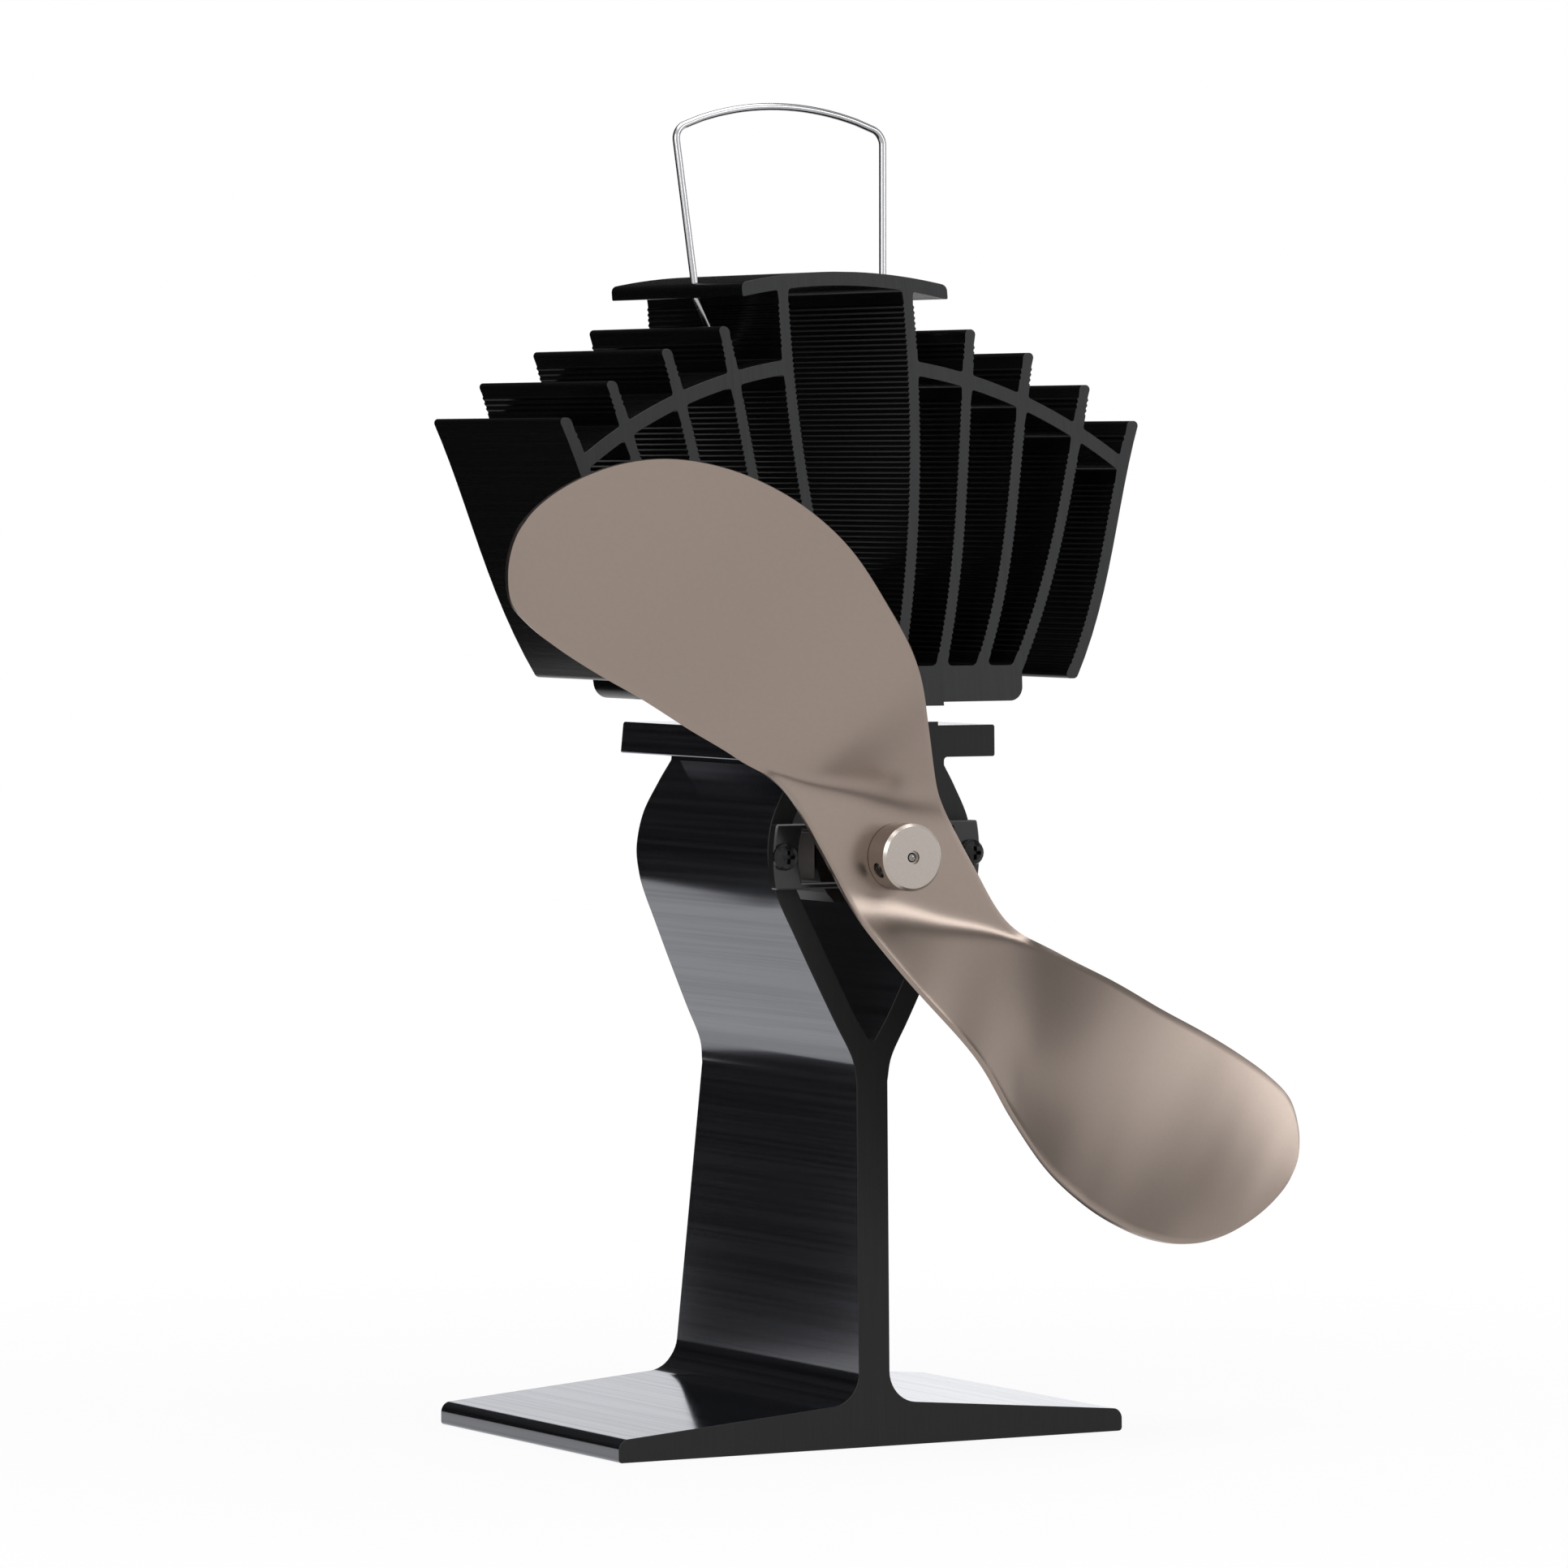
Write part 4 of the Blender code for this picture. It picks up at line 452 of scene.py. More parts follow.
RIB_PITCH = 0.86 * MM
RIB_DEPTH = 0.17 * MM
RIB_CORNERS = ((0.1, 0), (0.32, 0), (0.55, 1), (0.8, 1))
RIB_PHASE = 0.07
RIB_CLEARANCE = 1.7 * SINK_FILLET
PLAIN_STEPS = 12
MEETING_ROUNDS = 30
COURSE_HEIGHTS = (0.0, 0.2, 0.5, 1.0)
WALL_COURSE = (0.093, 0.144, 0.194, 0.214)
FIN_COURSES = ((0.239, 0.295, 0.352, 0.426), (0.378, 0.453, 0.526, 0.626),
               (0.508, 0.594, 0.692, 0.818), (0.688, 0.767, 0.852, 0.980))
SINK_FRONT = MODULE_Y - SINK_DEPTH / 2


def sink_front(height):
    return SINK_FRONT + SINK_LEAN * (height - BLOCK_UNDERSIDE)


def sink_back(height):
    return sink_front(height) + SINK_DEPTH + SINK_SPREAD * (height - BLOCK_UNDERSIDE)


class Upright:
    """A wall or a fin, from its foot to its tip."""

    def __init__(self, shares, thickness, foot, tip, phase):
        self.places = [share * SINK_HALF for share in shares]
        self.half = thickness / 2
        self.foot = foot
        self.tip = tip
        self.phase = phase

    def middle(self, height):
        """X of the middle line at a height, on the cubic through its four places."""
        share = (height - self.foot) / (self.tip - self.foot)
        total = 0
        for index, place in enumerate(self.places):
            weight = 1
            for other, height_share in enumerate(COURSE_HEIGHTS):
                if other != index:
                    weight *= (share - height_share) / (COURSE_HEIGHTS[index] - height_share)
            total += place * weight
        return total

    def side(self, height, direction):
        """X of one of its two sides at a height, out (1) or in (-1)."""
        step = self.half / 4
        slope = (self.middle(height + step) - self.middle(height - step)) / (2 * step)
        return self.middle(height) + direction * self.half * sqrt(1 + slope * slope)

    def meet(self, direction, height_at):
        """The height where one side meets a curve that gives height by X."""
        height = self.tip
        for _ in range(MEETING_ROUNDS):
            height = height_at(self.side(height, direction))
        return height

    def run(self, direction, start, end):
        """Ribbed corners along one side, between two heights and clear of both."""
        way = 1 if end > start else -1
        low = min(start, end) + RIB_CLEARANCE
        high = max(start, end) - RIB_CLEARANCE
        count = int((high - low) / RIB_PITCH)
        ribs = []
        for index in range(count):
            foot = low + (index + self.phase) * RIB_PITCH
            for share, depth in RIB_CORNERS:
                height = foot + share * RIB_PITCH
                if height < high:
                    ribs.append((self.side(height, direction) - direction * depth * RIB_DEPTH, height, 0))
        return ribs[::way]

    def end(self, height, first):
        """The two corners of a round end, the first one on the side named."""
        return [(self.side(height, way), height, self.half) for way in (first, -first)]


def web_under(x):
    return WEB_CENTRE + sqrt((WEB_RADIUS - WEB_HALF) ** 2 - x * x)


def web_over(x):
    return WEB_CENTRE + sqrt((WEB_RADIUS + WEB_HALF) ** 2 - x * x)


def cap_under(x):
    return AXIS + sqrt((CAP_RADIUS - CAP_THICKNESS) ** 2 - x * x)


def cap_over(x):
    return AXIS + sqrt(CAP_RADIUS ** 2 - x * x)


def arc_run(height_at, start, end):
    """Corners along an arc between two distances from the centre plane, clear of both."""
    places = [start + (end - start) * index / ARC_STEPS for index in range(1, ARC_STEPS)]
    return [(x, height_at(x), 0) for x in places]


def sink_outer(uprights):
    """The right half of the heat sink's outer outline, from the land up to the cap's crown."""
    wall = uprights[0]
    fins = uprights[1:]
    last = fins[-1]
    carried = fins[-2]
    corners = [(LAND_HALF, SINK_LAND, 0), (LAND_HALF, BLOCK_UNDERSIDE, 0),
               (BLOCK_HALF, BLOCK_UNDERSIDE + BLOCK_RISE, BLOCK_CORNER)]
    under = carried.meet(1, web_under)
    corners.append((carried.side(BLOCK_TOP - SINK_FILLET, 1), BLOCK_TOP - SINK_FILLET, 0))
    corners += carried.run(1, BLOCK_TOP - SINK_FILLET, under)
    corners.append((carried.side(under, 1), under, SINK_FILLET))
    meeting = last.meet(-1, web_under)
    corners += arc_run(web_under, carried.side(under, 1), last.side(meeting, -1))
    corners.append((last.side(meeting, -1), meeting, SINK_FILLET))
    corners += last.run(-1, meeting, last.foot)
    corners += last.end(last.foot, -1)
    plain = [last.foot + (last.tip - last.foot) * step / PLAIN_STEPS for step in range(1, PLAIN_STEPS)]
    corners += [(last.side(height, 1), height, 0) for height in plain]
    for index in range(len(fins) - 1, -1, -1):
        fin = fins[index]
        neighbour = uprights[index]
        corners += fin.end(fin.tip, 1)
        outer_meeting = fin.meet(-1, web_over)
        corners += fin.run(-1, fin.tip, outer_meeting)
        corners.append((fin.side(outer_meeting, -1), outer_meeting, SINK_FILLET))
        inner_meeting = neighbour.meet(1, web_over)
        corners += arc_run(web_over, fin.side(outer_meeting, -1), neighbour.side(inner_meeting, 1))
        corners.append((neighbour.side(inner_meeting, 1), inner_meeting, SINK_FILLET))
        top = cap_under(neighbour.side(neighbour.tip, 1)) if neighbour is wall else neighbour.tip
        corners += neighbour.run(1, inner_meeting, top)
    top = wall.meet(1, cap_under)
    corners.append((wall.side(top, 1), top, SINK_FILLET))
    corners += arc_run(cap_under, wall.side(top, 1), CAP_HALF)
    corners += [(CAP_HALF, height_at(CAP_HALF), CAP_THICKNESS / 2) for height_at in (cap_under, cap_over)]
    corners += arc_run(cap_over, CAP_HALF, 0)
    return corners


def sink_cells(uprights):
    """The closed cells of the profile: the tall middle one and three on each side."""
    wall = uprights[0]
    top = wall.meet(-1, cap_under)
    middle = [(wall.side(BLOCK_TOP, -1), BLOCK_TOP, CELL_FILLET)]
    middle += wall.run(-1, BLOCK_TOP, top)
    middle.append((wall.side(top, -1), top, CELL_FILLET))
    middle += arc_run(cap_under, wall.side(top, -1), 0)
    cells = [both_sides(middle)]
    for near, far in zip(uprights[:-2], uprights[1:-1]):
        near_top = near.meet(1, web_under)
        far_top = far.meet(-1, web_under)
        cell = [(far.side(BLOCK_TOP, -1), BLOCK_TOP, SINK_FILLET)]
        cell += far.run(-1, BLOCK_TOP, far_top)
        cell.append((far.side(far_top, -1), far_top, SINK_FILLET))
        cell += arc_run(web_under, far.side(far_top, -1), near.side(near_top, 1))
        cell.append((near.side(near_top, 1), near_top, SINK_FILLET))
        cell += near.run(1, near_top, BLOCK_TOP)
        cell.append((near.side(BLOCK_TOP, 1), BLOCK_TOP, SINK_FILLET))
        cells += [cell, [(-x, z, radius) for x, z, radius in reversed(cell)]]
    return cells


uprights = [Upright(WALL_COURSE, WALL_THICKNESS, BLOCK_TOP, cap_under(0), 0)]
for index, course in enumerate(FIN_COURSES):
    foot = HANGING_FIN_HEIGHT if course is FIN_COURSES[-1] else BLOCK_TOP
    tip = AXIS + sqrt(FIN_TIP_CIRCLE ** 2 - (course[-1] * SINK_HALF) ** 2)
    uprights.append(Upright(course, FIN_THICKNESS, foot, tip, RIB_PHASE * (index + 1)))
sink = drawn_bar("heat_sink_bar", [rounded(both_sides(sink_outer(uprights)))]
                 + [rounded(cell) for cell in sink_cells(uprights)], sink_front, sink_back, SINK_CHAMFER)

ribbed_black = Finish("ribbed_black_anodising", (0.003, 0.003, 0.003), 0.3)
ribbed_black.set("Specular IOR Level", 0.2)
fin_lines = ribbed_black.noise((1500, 9, 1500), 3)
ribbed_black.set("Roughness", 0.22 + 0.1 * fin_lines)
ribbed_black.set("Base Color", ribbed_black.blend(fin_lines, (0.001, 0.001, 0.0012), (0.003, 0.003, 0.0032)))
ribbed_black.relief(fin_lines, 0.008 * MM)

# The heat sink's sawn faces are the same black anodising as the stand's. Their lighter grey is painted light:
# it stands for the light from above that falls on these back-leaning faces.
sawn_painted_light = Finish("sawn_anodising_painted_light", (0.035, 0.035, 0.035), 0.52)
sawn_painted_light.set("Specular IOR Level", 0.25)
band_marks = sawn_painted_light.noise((2100, 30, 45), 3, 0.65)
sawn_painted_light.set("Base Color", sawn_painted_light.blend(band_marks, (0.016, 0.016, 0.0165), (0.032, 0.032, 0.033)))
sawn_painted_light.relief(band_marks, 0.012 * MM)
fitted(sink, "stand", "black_anodised_aluminium", (ribbed_black, sawn_painted_light), "heat_sink")

# Blade
# Two lobes pressed from one sheet of satin nickel coloured aluminium: flat where the hub holds
# it, then twisted forward past two slanting folds, with rounded cut edges.
BLADE_RADIUS = 88.4 * MM
BLADE_THICKNESS = 1.0 * MM
BLADE_FOLD_SOFTNESS = 2.2 * MM
BLADE_FOLD_END = 28.0 * MM
BLADE_FOLD_END_SHARE = 0.2
BLADE_FOLD_ANGLE = radians(25)
BLADE_TURN = radians(37)
BLADE_END_SHARE = 0.985
BLADE_MIDDLE = -36.41 * MM
BLADE_EDGE_RADIUS = 0.3 * MM
BLADE_HOLE_RADIUS = 2.6 * MM
BLADE_HOLE_DEPTH = 6 * MM
BLADE_LOWER = (-0.136, -0.192, -0.241, -0.288, -0.32, -0.3247, -0.31, -0.281, -0.2388, -0.183,
               -0.1192, -0.0566, 0.0)
BLADE_UPPER = (0.136, 0.0837, 0.0408, 0.0548, 0.077, 0.0932, 0.1114, 0.1231, 0.1269, 0.1184, 0.0845,
               0.0427, 0.0)
BLADE_TWIST = (0.528, 0.694, 0.717, 0.531, 0.413, 0.36, 0.321, 0.284, 0.241, 0.203, 0.173, 0.147, 0.123)
BLADE_SWEEP = (-0.0632, -0.0385, 0.007, 0.0365, 0.0567, 0.0669, 0.0733, 0.0755, 0.0758, 0.0762,
               0.0774, 0.0783, 0.0788)


def blade_depth(along, across):
    """How far the sheet stands behind its flat middle: folded where the sweep outgrows the twist."""
    way = 1 if sin(BLADE_FOLD_ANGLE) * along >= cos(BLADE_FOLD_ANGLE) * across else -1
    place = asin(way * along / BLADE_RADIUS) / (pi / 2) * (len(BLADE_TWIST) - 1)
    sweep = smooth_between(BLADE_SWEEP, place) * BLADE_RADIUS
    forward = sweep - smooth_between(BLADE_TWIST, place) * way * across
    softness = BLADE_FOLD_SOFTNESS * max(1 - (way * along / BLADE_FOLD_END) ** 2, BLADE_FOLD_END_SHARE)
    if abs(forward) < softness:
        return -(forward + softness) ** 2 / (4 * softness)
    return -max(forward, 0)


def pressed_sheet(name):
    """The blade's middle surface, before the sheet gets its thickness."""
    shape = bmesh.new()
    bmesh.ops.create_grid(shape, x_segments=240, y_segments=28, size=1)
    for vert in shape.verts:
        share = vert.co.x * BLADE_END_SHARE
        place = abs(share) * (len(BLADE_LOWER) - 1)
        lower = smooth_between(BLADE_LOWER, place)
        upper = smooth_between(BLADE_UPPER, place)
        if share < 0:
            lower, upper = -upper, -lower
        along = BLADE_RADIUS * sin(share * pi / 2)
        across = BLADE_RADIUS * (lower + (upper - lower) * (vert.co.y + 1) / 2)
        vert.co = (along, blade_depth(along, across), across)
    shape.transform(Matrix.Translation((0, BLADE_MIDDLE, AXIS)) @ Matrix.Rotation(BLADE_TURN, 4, "Y"))
    bmesh.ops.recalc_face_normals(shape, faces=shape.faces)
    mesh = bpy.data.meshes.new(name)
    shape.to_mesh(mesh)
    shape.free()
    return mesh


def cut_out(piece, name, shape):
    """Take a shape out of a piece, after the piece's own modifiers, and keep the result as its mesh."""
    tool_mesh = bpy.data.meshes.new(name)
    shape.to_mesh(tool_mesh)
    shape.free()
    tool = bpy.data.objects.new(name, tool_mesh)
    bpy.context.scene.collection.objects.link(tool)
    cut = piece.modifiers.new(name, "BOOLEAN")
    cut.operation = "DIFFERENCE"
    cut.solver = "EXACT"
    cut.object = tool
    bpy.context.view_layer.update()
    mesh = bpy.data.meshes.new_from_object(piece.evaluated_get(bpy.context.evaluated_depsgraph_get()))
    piece.modifiers.clear()
    piece.data = mesh
    bpy.data.objects.remove(tool)


blade = bpy.data.objects.new("blade_sheet", pressed_sheet("blade_sheet"))
bpy.context.scene.collection.objects.link(blade)
wall = blade.modifiers.new("thickness", "SOLIDIFY")
wall.thickness = BLADE_THICKNESS
wall.offset = 0
wall.use_even_offset = True
wall.material_offset_rim = 1
edge = blade.modifiers.new("edge", "BEVEL")
edge.width = BLADE_EDGE_RADIUS
edge.segments = 3
edge.limit_method = "ANGLE"
edge.angle_limit = radians(50)
punch = bmesh.new()
bmesh.ops.create_cone(punch, cap_ends=True, segments=64, radius1=BLADE_HOLE_RADIUS,
                      radius2=BLADE_HOLE_RADIUS, depth=BLADE_HOLE_DEPTH,
                      matrix=Matrix.Translation((0, BLADE_MIDDLE, AXIS)) @ Matrix.Rotation(pi / 2, 4, "X"))
cut_out(blade, "blade_hole", punch)
blade.data.shade_smooth()
blade.data.set_sharp_from_angle(angle=radians(40))

satin_nickel = Finish("satin_nickel_sheet", (0.3, 0.24, 0.205), 0.26, 1.0)
grain = satin_nickel.noise((1500, 1500, 1500), 3)
cloud = satin_nickel.noise((35, 35, 35), 2)
satin_nickel.set("Roughness", 0.28 + 0.05 * cloud)
satin_nickel.set("Base Color", satin_nickel.blend(grain, (0.288, 0.233, 0.2), (0.312, 0.253, 0.218)))
satin_nickel.relief(grain, 0.003 * MM)
# The cut edges get a lighter copy of the sheet's nickel colour: a painted highlight along the rim.
edge_painted_highlight = Finish("nickel_edge_painted_highlight", (0.5, 0.45, 0.41), 0.28, 1.0)
cut_marks = edge_painted_highlight.noise((900, 200, 900), 3)
edge_painted_highlight.set("Roughness", 0.2 + 0.14 * cut_marks)
fitted(blade, "rotor", "satin_nickel", (satin_nickel, edge_painted_highlight), "fan_blade")

# Hub
# A turned boss of the same nickel colour, with a chamfered front edge, a bore for the motor's
# shaft and a set screw in its side. It grips the blade against the collar behind.
HUB_FRONT = -42.07 * MM
HUB_SEAT = -37.01 * MM
HUB_RADIUS = 5.37 * MM
HUB_BORE = 0.78 * MM
HUB_SPIGOT = 2.5 * MM
HUB_TAIL = -34.31 * MM
HUB_CHAMFER = 0.45 * MM
HUB_RECESS = 0.5 * MM
HUB_RECESS_FLOOR = HUB_BORE + 0.22 * MM
HUB_RECESS_MOUTH = HUB_BORE + 0.3 * MM
SHAFT_RADIUS = 0.7 * MM
SHAFT_FRONT = -41.9 * MM
SHAFT_BACK = -5.0 * MM
SHAFT_TIP = ((0.5, 0.06 * MM), (0.85, 0.22 * MM), (1, 0.45 * MM))
SET_SCREW_HOLE = 1.3 * MM
SET_SCREW_FLARE = 0.3 * MM
SET_SCREW_ANGLE = radians(203)


def turned(name, profile, segments):
    """A piece turned about the shaft from a closed profile of (radius, y)."""
    shape = bmesh.new()
    verts = [shape.verts.new((radius, y, 0)) for radius, y in profile]
    edges = [shape.edges.new((verts[index - 1], verts[index])) for index in range(len(verts))]
    bmesh.ops.spin(shape, geom=verts + edges, cent=(0, 0, 0), axis=(0, 1, 0), dvec=(0, 0, 0), angle=2 * pi,
                   steps=segments, use_merge=True, use_duplicate=False)
    bmesh.ops.remove_doubles(shape, verts=shape.verts, dist=0.001 * MM)
    bmesh.ops.recalc_face_normals(shape, faces=shape.faces)
    shape.transform(Matrix.Translation((0, 0, AXIS)))
    mesh = bpy.data.meshes.new(name)
    shape.to_mesh(mesh)
    shape.free()
    mesh.shade_smooth()
    mesh.set_sharp_from_angle(angle=radians(30))
    piece = bpy.data.objects.new(name, mesh)
    bpy.context.scene.collection.objects.link(piece)
    return piece


hub = turned("hub_boss", [(HUB_RECESS_MOUTH, HUB_FRONT), (HUB_RADIUS - HUB_CHAMFER, HUB_FRONT),
                          (HUB_RADIUS, HUB_FRONT + HUB_CHAMFER), (HUB_RADIUS, HUB_SEAT),
                          (HUB_SPIGOT, HUB_SEAT), (HUB_SPIGOT, HUB_TAIL), (HUB_BORE, HUB_TAIL),
                          (HUB_BORE, HUB_FRONT + HUB_RECESS),
                          (HUB_RECESS_FLOOR, HUB_FRONT + HUB_RECESS)], 128)
shaft_tip = [(share * SHAFT_RADIUS, SHAFT_FRONT + behind) for share, behind in SHAFT_TIP]
shaft = turned("shaft_pin", [(0, SHAFT_FRONT), *shaft_tip, (SHAFT_RADIUS, SHAFT_BACK), (0, SHAFT_BACK)], 48)
drill = bmesh.new()
aim = Vector((cos(SET_SCREW_ANGLE), 0, sin(SET_SCREW_ANGLE)))
drill_place = Matrix.Translation(Vector((0, (HUB_FRONT + HUB_SEAT) / 2, AXIS)) + aim * HUB_RADIUS)
drill_turn = aim.to_track_quat("Z", "Y").to_matrix().to_4x4()
for flare, depth in ((0, 2 * (HUB_RADIUS - HUB_BORE)), (SET_SCREW_FLARE, 2 * SET_SCREW_FLARE)):
    bmesh.ops.create_cone(drill, cap_ends=True, segments=48, radius1=SET_SCREW_HOLE - flare,
                          radius2=SET_SCREW_HOLE + flare, depth=depth, matrix=drill_place @ drill_turn)
cut_out(hub, "set_screw_hole", drill)
hub.data.set_sharp_from_angle(angle=radians(30))

turned_nickel = Finish("turned_nickel", (0.43, 0.385, 0.35), 0.26, 1.0)
flattened = turned_nickel.node("VectorMath", {0: turned_nickel.place(), 1: (1, 0, 1)},
                               {"operation": "MULTIPLY"})
from_axis = turned_nickel.node("VectorMath", {0: flattened, 1: (0, 0, AXIS)},
                               {"operation": "DISTANCE"}, "Value")
rings = turned_nickel.node("TexNoise", {"W": 3000 * from_axis, "Scale": 1, "Detail": 2},
                           {"noise_dimensions": "1D"})
turned_nickel.set("Roughness", 0.22 + 0.1 * rings)
turned_nickel.relief(rings, 0.001 * MM)
fitted(hub, "rotor", "turned_nickel", (turned_nickel,), "fan_hub")
ground_steel = Finish("ground_steel_shaft", (0.24, 0.23, 0.22), 0.2, 1.0)
ground_marks = ground_steel.noise((900, 300, 900), 2)
ground_steel.set("Roughness", 0.14 + 0.12 * ground_marks)
fitted(shaft, "rotor", "zinc_steel", (ground_steel,), "motor_shaft")

# Handle
# A bail of bright plated wire: an arched top, two legs through holes in the cap, and hooked feet
# that spring into holes in the two walls.
WIRE_RADIUS = 0.6 * MM
HANDLE_SPREAD = 17.4 * MM
HANDLE_Y = -2.0 * MM
HANDLE_SHOULDER = 19.4 * MM
HANDLE_SHOULDER_HEIGHT = 211.0 * MM
HANDLE_TOP = 215.0 * MM
HANDLE_LEAN = 0.131
HANDLE_BEND = 2.6 * MM
ARCH_STEPS = 12
ARCH_CLEAR_STEPS = 3
FOOT_BEND = 1.3 * MM
FOOT_BEND_DEPTH = 1.1 * CAP_THICKNESS
HOOK_HEIGHT = 175.6 * MM
HOOK_REACH = 0.8 * MM
HOOK_OUT = 13.9 * MM


def bent(corners, steps=12):
    """A route in space through (place, bend radius) corners, its ends left as they are."""
    route = [Vector(corners[0][0])]
    for (before, _), (corner, radius), (after, _) in zip(corners, corners[1:], corners[2:]):
        if radius == 0:
            route.append(Vector(corner))
            continue
        back = (Vector(before) - corner).normalized()
        ahead = (Vector(after) - corner).normalized()
        half = back.angle(ahead) / 2
        reach = radius / tan(half)
        centre = corner + (back + ahead).normalized() * (radius / sin(half))
        first = corner + back * reach - centre
        last = corner + ahead * reach - centre
        axis, angle = first.rotation_difference(last).to_axis_angle()
        route += [centre + Matrix.Rotation(angle * step / steps, 3, axis) @ first
                  for step in range(steps + 1)]
    route.append(Vector(corners[-1][0]))
    return route


def wire(name, route, radius, sides):
    """A round wire along a route, with closed ends."""
    curve = bpy.data.curves.new(name, "CURVE")
    curve.dimensions = "3D"
    curve.bevel_depth = radius
    curve.bevel_resolution = sides
    curve.use_fill_caps = True
    spline = curve.splines.new("POLY")
    spline.points.add(len(route) - 1)
    for point, spot in zip(spline.points, route):
        point.co = (*spot, 1)
    drawing = bpy.data.objects.new(name, curve)
    bpy.context.scene.collection.objects.link(drawing)
    bpy.context.view_layer.update()
    mesh = bpy.data.meshes.new_from_object(drawing.evaluated_get(bpy.context.evaluated_depsgraph_get()))
    bpy.data.objects.remove(drawing)
    shape = bmesh.new()
    shape.from_mesh(mesh)
    bmesh.ops.remove_doubles(shape, verts=shape.verts, dist=0.001 * MM)
    bmesh.ops.recalc_face_normals(shape, faces=shape.faces)
    shape.to_mesh(mesh)
    shape.free()
    mesh.shade_smooth()
    mesh.set_sharp_from_angle(angle=radians(50))
    piece = bpy.data.objects.new(name, mesh)
    bpy.context.scene.collection.objects.link(piece)
    return piece


def on_handle(x, height):
    """A point in the handle's leaning plane."""
    return Vector((x, HANDLE_Y + HANDLE_LEAN * (height - cap_over(HANDLE_SPREAD)), height))


hook_tip = uprights[0].middle(HOOK_HEIGHT) - HOOK_REACH
rise = HANDLE_TOP - HANDLE_SHOULDER_HEIGHT
arch_radius = (HANDLE_SHOULDER ** 2 + rise ** 2) / (2 * rise)
half_route = [(on_handle(hook_tip, HOOK_HEIGHT), 0), (on_handle(HOOK_OUT, HOOK_HEIGHT), FOOT_BEND),
              (on_handle(HANDLE_SPREAD, cap_over(HANDLE_SPREAD) - FOOT_BEND_DEPTH), FOOT_BEND)]
arch = []
arch_end = 2 * ARCH_STEPS
for step in (0, *range(ARCH_CLEAR_STEPS, arch_end - ARCH_CLEAR_STEPS + 1), arch_end):
    x = HANDLE_SHOULDER * (1 - step / ARCH_STEPS)
    height = HANDLE_TOP - arch_radius + sqrt(arch_radius ** 2 - x * x)
    arch.append((on_handle(x, height), HANDLE_BEND if step in (0, arch_end) else 0))
other_half = [(Vector((-spot.x, spot.y, spot.z)), bend) for spot, bend in reversed(half_route)]
handle = wire("handle_wire", bent(half_route + arch + other_half), WIRE_RADIUS, 6)
bright_plate = Finish("bright_plated_wire", (0.42, 0.42, 0.43), 0.16, 1.0)
draw_lines = bright_plate.noise((1200, 1200, 60), 2)
bright_plate.set("Roughness", 0.12 + 0.1 * draw_lines)
fitted(handle, "stand", "bright_wire", (bright_plate,), "carry_handle")

# Motor bracket
# A black moulded plate across the two arms, with rounded edges and a window in front of the
# motor, held by a pan-head screw at each end.
BRACKET_HALF = 19.05 * MM
BRACKET_HEIGHT = 10.4 * MM
BRACKET_BOW = 0.55 * MM
BRACKET_THICKNESS = 2.0 * MM
BRACKET_CORNER = 0.4 * MM
BRACKET_CHAMFER = 0.25 * MM
BRACKET_STANDOFF = 0.3 * MM
BRACKET_BACK = stand_front(AXIS) - BRACKET_STANDOFF
WINDOW_RADIUS = 14.5 * MM
WINDOW_HEIGHT = 8.4 * MM


def arc_band(half_height, radius, steps=16):
    """X and height of points up a round side, from below the axis to above it."""
    reach = asin(half_height / radius)
    angles = [reach * (2 * step / steps - 1) for step in range(steps + 1)]
    return [(radius * cos(angle), AXIS + radius * sin(angle)) for angle in angles]


end_radius = ((BRACKET_HEIGHT / 2) ** 2 + BRACKET_BOW ** 2) / (2 * BRACKET_BOW)
end_side = [(BRACKET_HALF - end_radius + x, z, 0) for x, z in arc_band(BRACKET_HEIGHT / 2, end_radius)]
for corner in (0, -1):
    end_side[corner] = (*end_side[corner][:2], BRACKET_CORNER)
window_side = [(x, z, 0) for x, z in arc_band(WINDOW_HEIGHT / 2, WINDOW_RADIUS)]
bracket = drawn_bar("bracket_plate", [rounded(both_sides(end_side)), rounded(both_sides(window_side))],
                    lambda height: BRACKET_BACK - BRACKET_THICKNESS, lambda height: BRACKET_BACK,
                    BRACKET_CHAMFER)
moulded = Finish("glossy_black_moulding", (0.012, 0.012, 0.012), 0.22)
skin = moulded.noise((500, 500, 500), 3)
moulded.set("Roughness", 0.18 + 0.12 * skin)
moulded.relief(skin, 0.003 * MM)
fitted(bracket, "stand", "black_plastic", (moulded, moulded), "motor_bracket")

# Cheeks, end cap
# Grey-black moulded cheeks beside the motor can, seen in the window, and the can's rear cap.
cheek_grey = Finish("grey_moulding", (0.12, 0.11, 0.1), 0.45)
cheek_skin = cheek_grey.noise((900, 900, 900), 3)
cheek_grey.set("Base Color", cheek_grey.blend(cheek_skin, (0.1, 0.09, 0.083), (0.14, 0.13, 0.12)))
cheek_grey.relief(cheek_skin, 0.004 * MM)


def refinish(finish, *names):
    """Give solids whose shape is right their own finish."""
    for name in names:
        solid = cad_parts[name]
        solid.data.materials.clear()
        solid.data.materials.append(finish.material)


refinish(cheek_grey, "motor_cheek_left", "motor_cheek_right")
refinish(moulded, "motor_end_cap")

# Screws and bolts
# Black oxide steel: the bracket's two screws, the two clamp bolts and the rotor's laminated core.
black_oxide = Finish("black_oxide_steel", (0.02, 0.02, 0.021), 0.26, 0.8)
oxide = black_oxide.noise((1400, 1400, 1400), 3)
black_oxide.set("Roughness", 0.2 + 0.14 * oxide)
black_oxide.set("Base Color", black_oxide.blend(oxide, (0.012, 0.012, 0.013), (0.028, 0.028, 0.029)))
refinish(black_oxide, "bracket_screw_left", "bracket_screw_right", "clamp_bolt_front", "clamp_bolt_rear",
         "rotor_core")
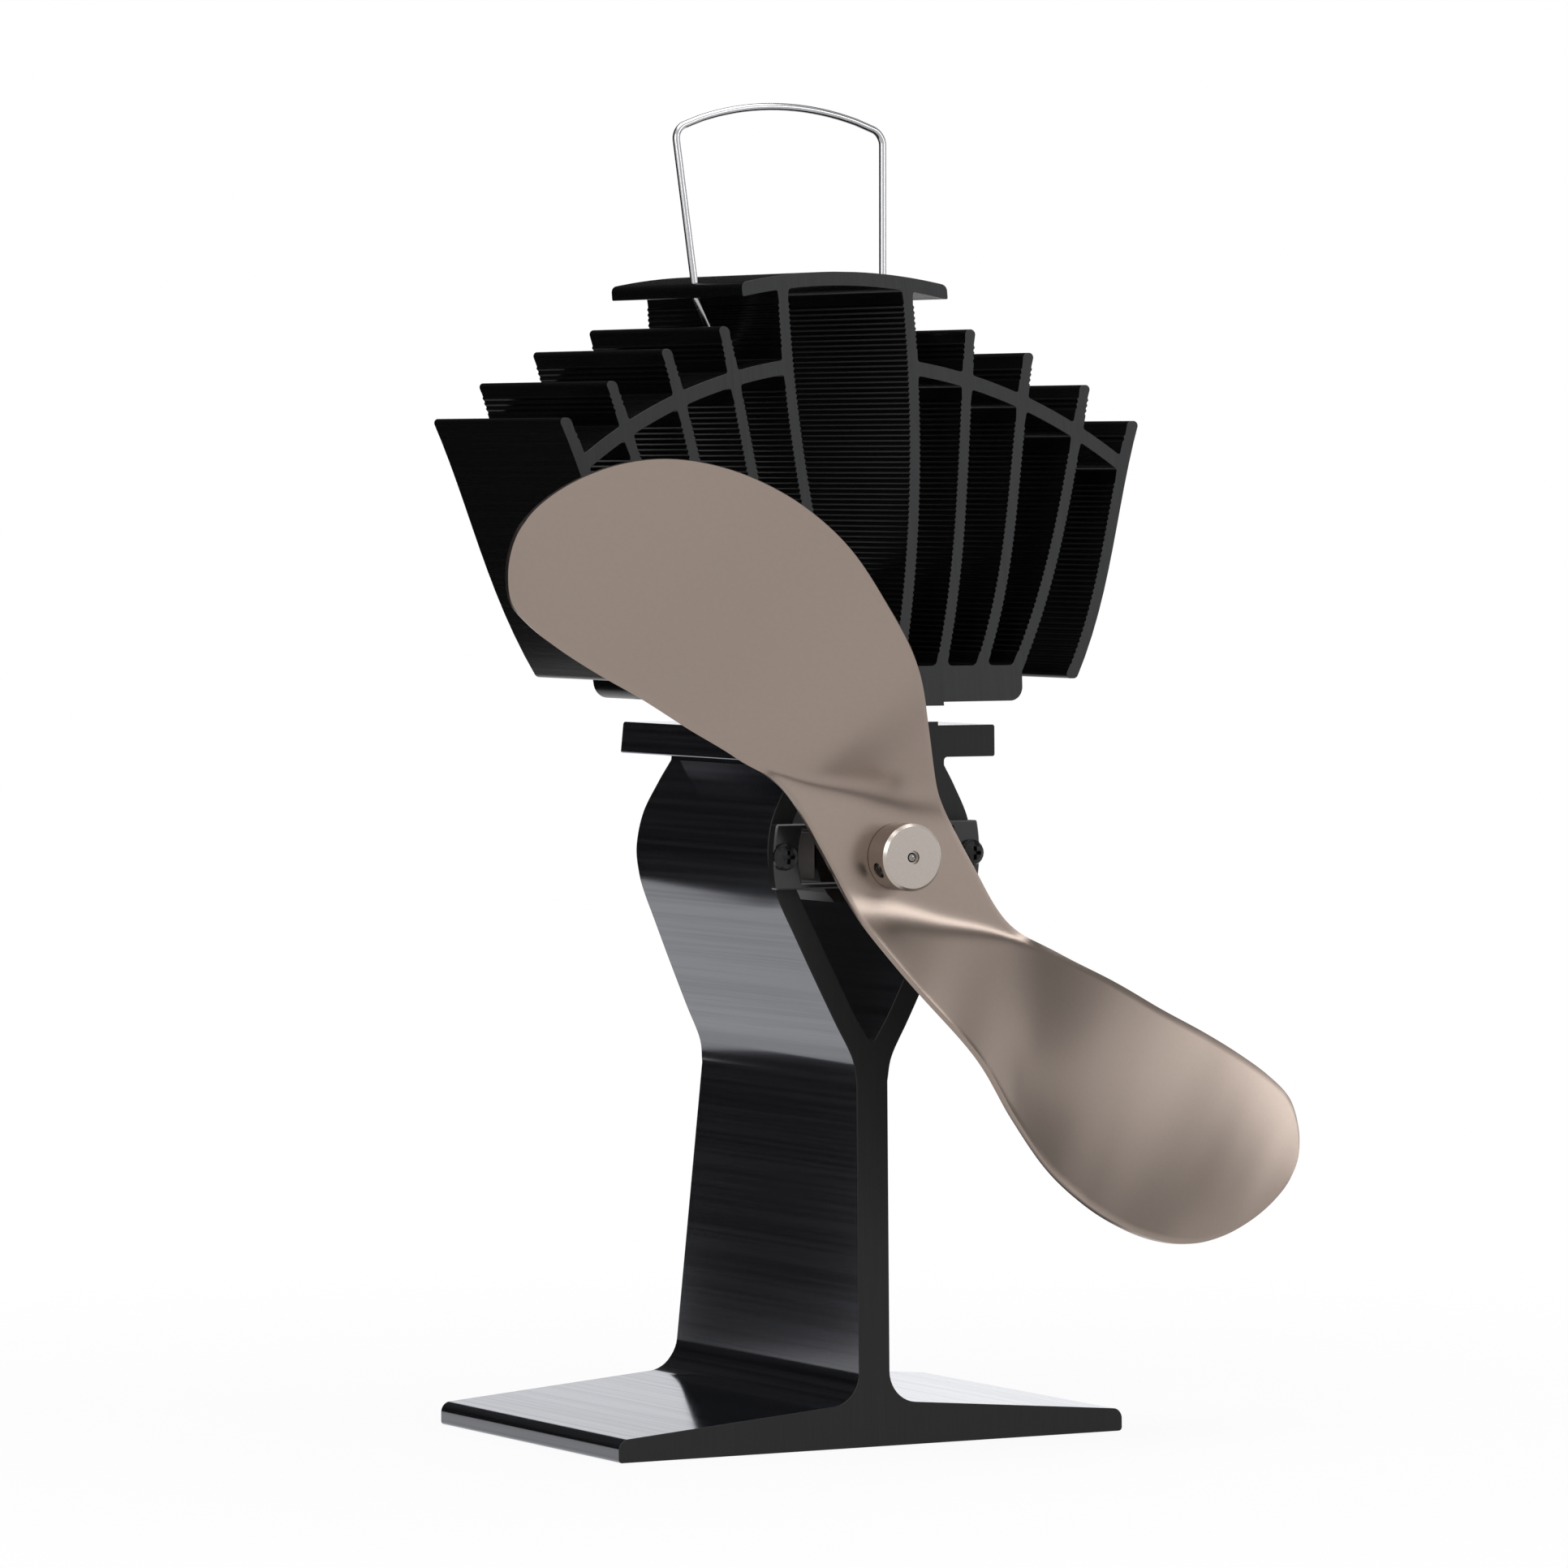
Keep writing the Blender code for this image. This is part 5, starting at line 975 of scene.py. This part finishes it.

# Zinc plated steel
# The washers, the hub's set screw and the overheat strip with its rivet. The motor can's zinc is coloured
# darker than plain zinc, and the blade's collar is turned from the same nickel colour as the hub.
zinc = Finish("zinc_plated_steel", (0.55, 0.56, 0.58), 0.34, 1.0)
spangle = zinc.noise((700, 160, 700), 3)
zinc.set("Roughness", 0.26 + 0.18 * spangle)
zinc.set("Base Color", zinc.blend(spangle, (0.48, 0.49, 0.51), (0.62, 0.63, 0.65)))
refinish(zinc, "clamp_washer_front", "clamp_washer_rear", "overheat_strip", "strip_rivet", "hub_set_screw")
refinish(turned_nickel, "blade_collar")
# Zinc coloured darker than plain zinc, for the motor can.
darkened_zinc = Finish("darkened_zinc_can", (0.13, 0.12, 0.112), 0.3, 1.0)
can_spangle = darkened_zinc.noise((500, 120, 500), 3)
darkened_zinc.set("Roughness", 0.24 + 0.14 * can_spangle)
darkened_zinc.set("Base Color", darkened_zinc.blend(can_spangle, (0.11, 0.102, 0.095), (0.16, 0.15, 0.14)))
refinish(darkened_zinc, "motor_can")

# Brass and copper
# Sintered bearings and terminals of brass; windings, commutator and brushes of copper.
brass = Finish("plain_brass", (0.7, 0.52, 0.22), 0.36, 1.0)
brass_grain = brass.noise((1500, 1500, 1500), 2)
brass.set("Roughness", 0.3 + 0.14 * brass_grain)
brass.set("Base Color", brass.blend(brass_grain, (0.62, 0.45, 0.18), (0.76, 0.57, 0.25)))
refinish(brass, "front_bearing", "rear_bearing", "terminal_left", "terminal_right")
copper = Finish("enamelled_copper", (0.72, 0.36, 0.2), 0.34, 1.0)
turns = copper.noise((300, 5200, 300), 2)
copper.set("Base Color", copper.blend(turns, (0.5, 0.22, 0.1), (0.8, 0.42, 0.24)))
copper.relief(turns, 0.03 * MM)
refinish(copper, "rotor_winding_1", "rotor_winding_2", "rotor_winding_3", "commutator", "brush_lower",
         "brush_upper")

# Magnets
# Sintered ferrite, matt dark grey.
ferrite = Finish("sintered_ferrite", (0.05, 0.05, 0.055), 0.7)
pores = ferrite.noise((2500, 2500, 2500), 3)
ferrite.set("Base Color", ferrite.blend(pores, (0.035, 0.035, 0.04), (0.07, 0.07, 0.075)))
refinish(ferrite, "magnet_left", "magnet_right")

# Thermoelectric module
# Two white alumina plates, metal pellets between them and an off-white silicone seal round the
# edge, pinched between the stand's land and the heat sink's.
alumina = Finish("white_alumina", (0.85, 0.85, 0.82), 0.5)
speckle = alumina.noise((1800, 1800, 1800), 3)
alumina.set("Base Color", alumina.blend(speckle, (0.78, 0.78, 0.75), (0.88, 0.88, 0.86)))
refinish(alumina, "module_hot_plate", "module_cold_plate")
pellet_metal = Finish("pellet_metal", (0.3, 0.3, 0.32), 0.4, 0.8)
pellet_grain = pellet_metal.noise((2000, 2000, 2000), 2)
pellet_metal.set("Roughness", 0.32 + 0.2 * pellet_grain)
refinish(pellet_metal, "module_pellets")
silicone = Finish("silicone_seal", (0.78, 0.78, 0.76), 0.65)
smear = silicone.noise((260, 260, 900), 3)
silicone.set("Base Color", silicone.blend(smear, (0.68, 0.68, 0.66), (0.82, 0.82, 0.8)))
silicone.relief(smear, 0.05 * MM)
refinish(silicone, "module_seal")

# Leads
# A red and a black silicone lead, round the back of the plate and down to the motor's terminals.
for name, slot, low, high in (("lead_red", "red_lead", (0.36, 0.012, 0.012), (0.52, 0.025, 0.022)),
                              ("lead_black", "black_lead", (0.012, 0.012, 0.012), (0.026, 0.026, 0.026))):
    sleeve = Finish(slot + "_sleeve", high, 0.5)
    sleeve_skin = sleeve.noise((900, 900, 900), 2)
    sleeve.set("Base Color", sleeve.blend(sleeve_skin, low, high))
    refinish(sleeve, name)
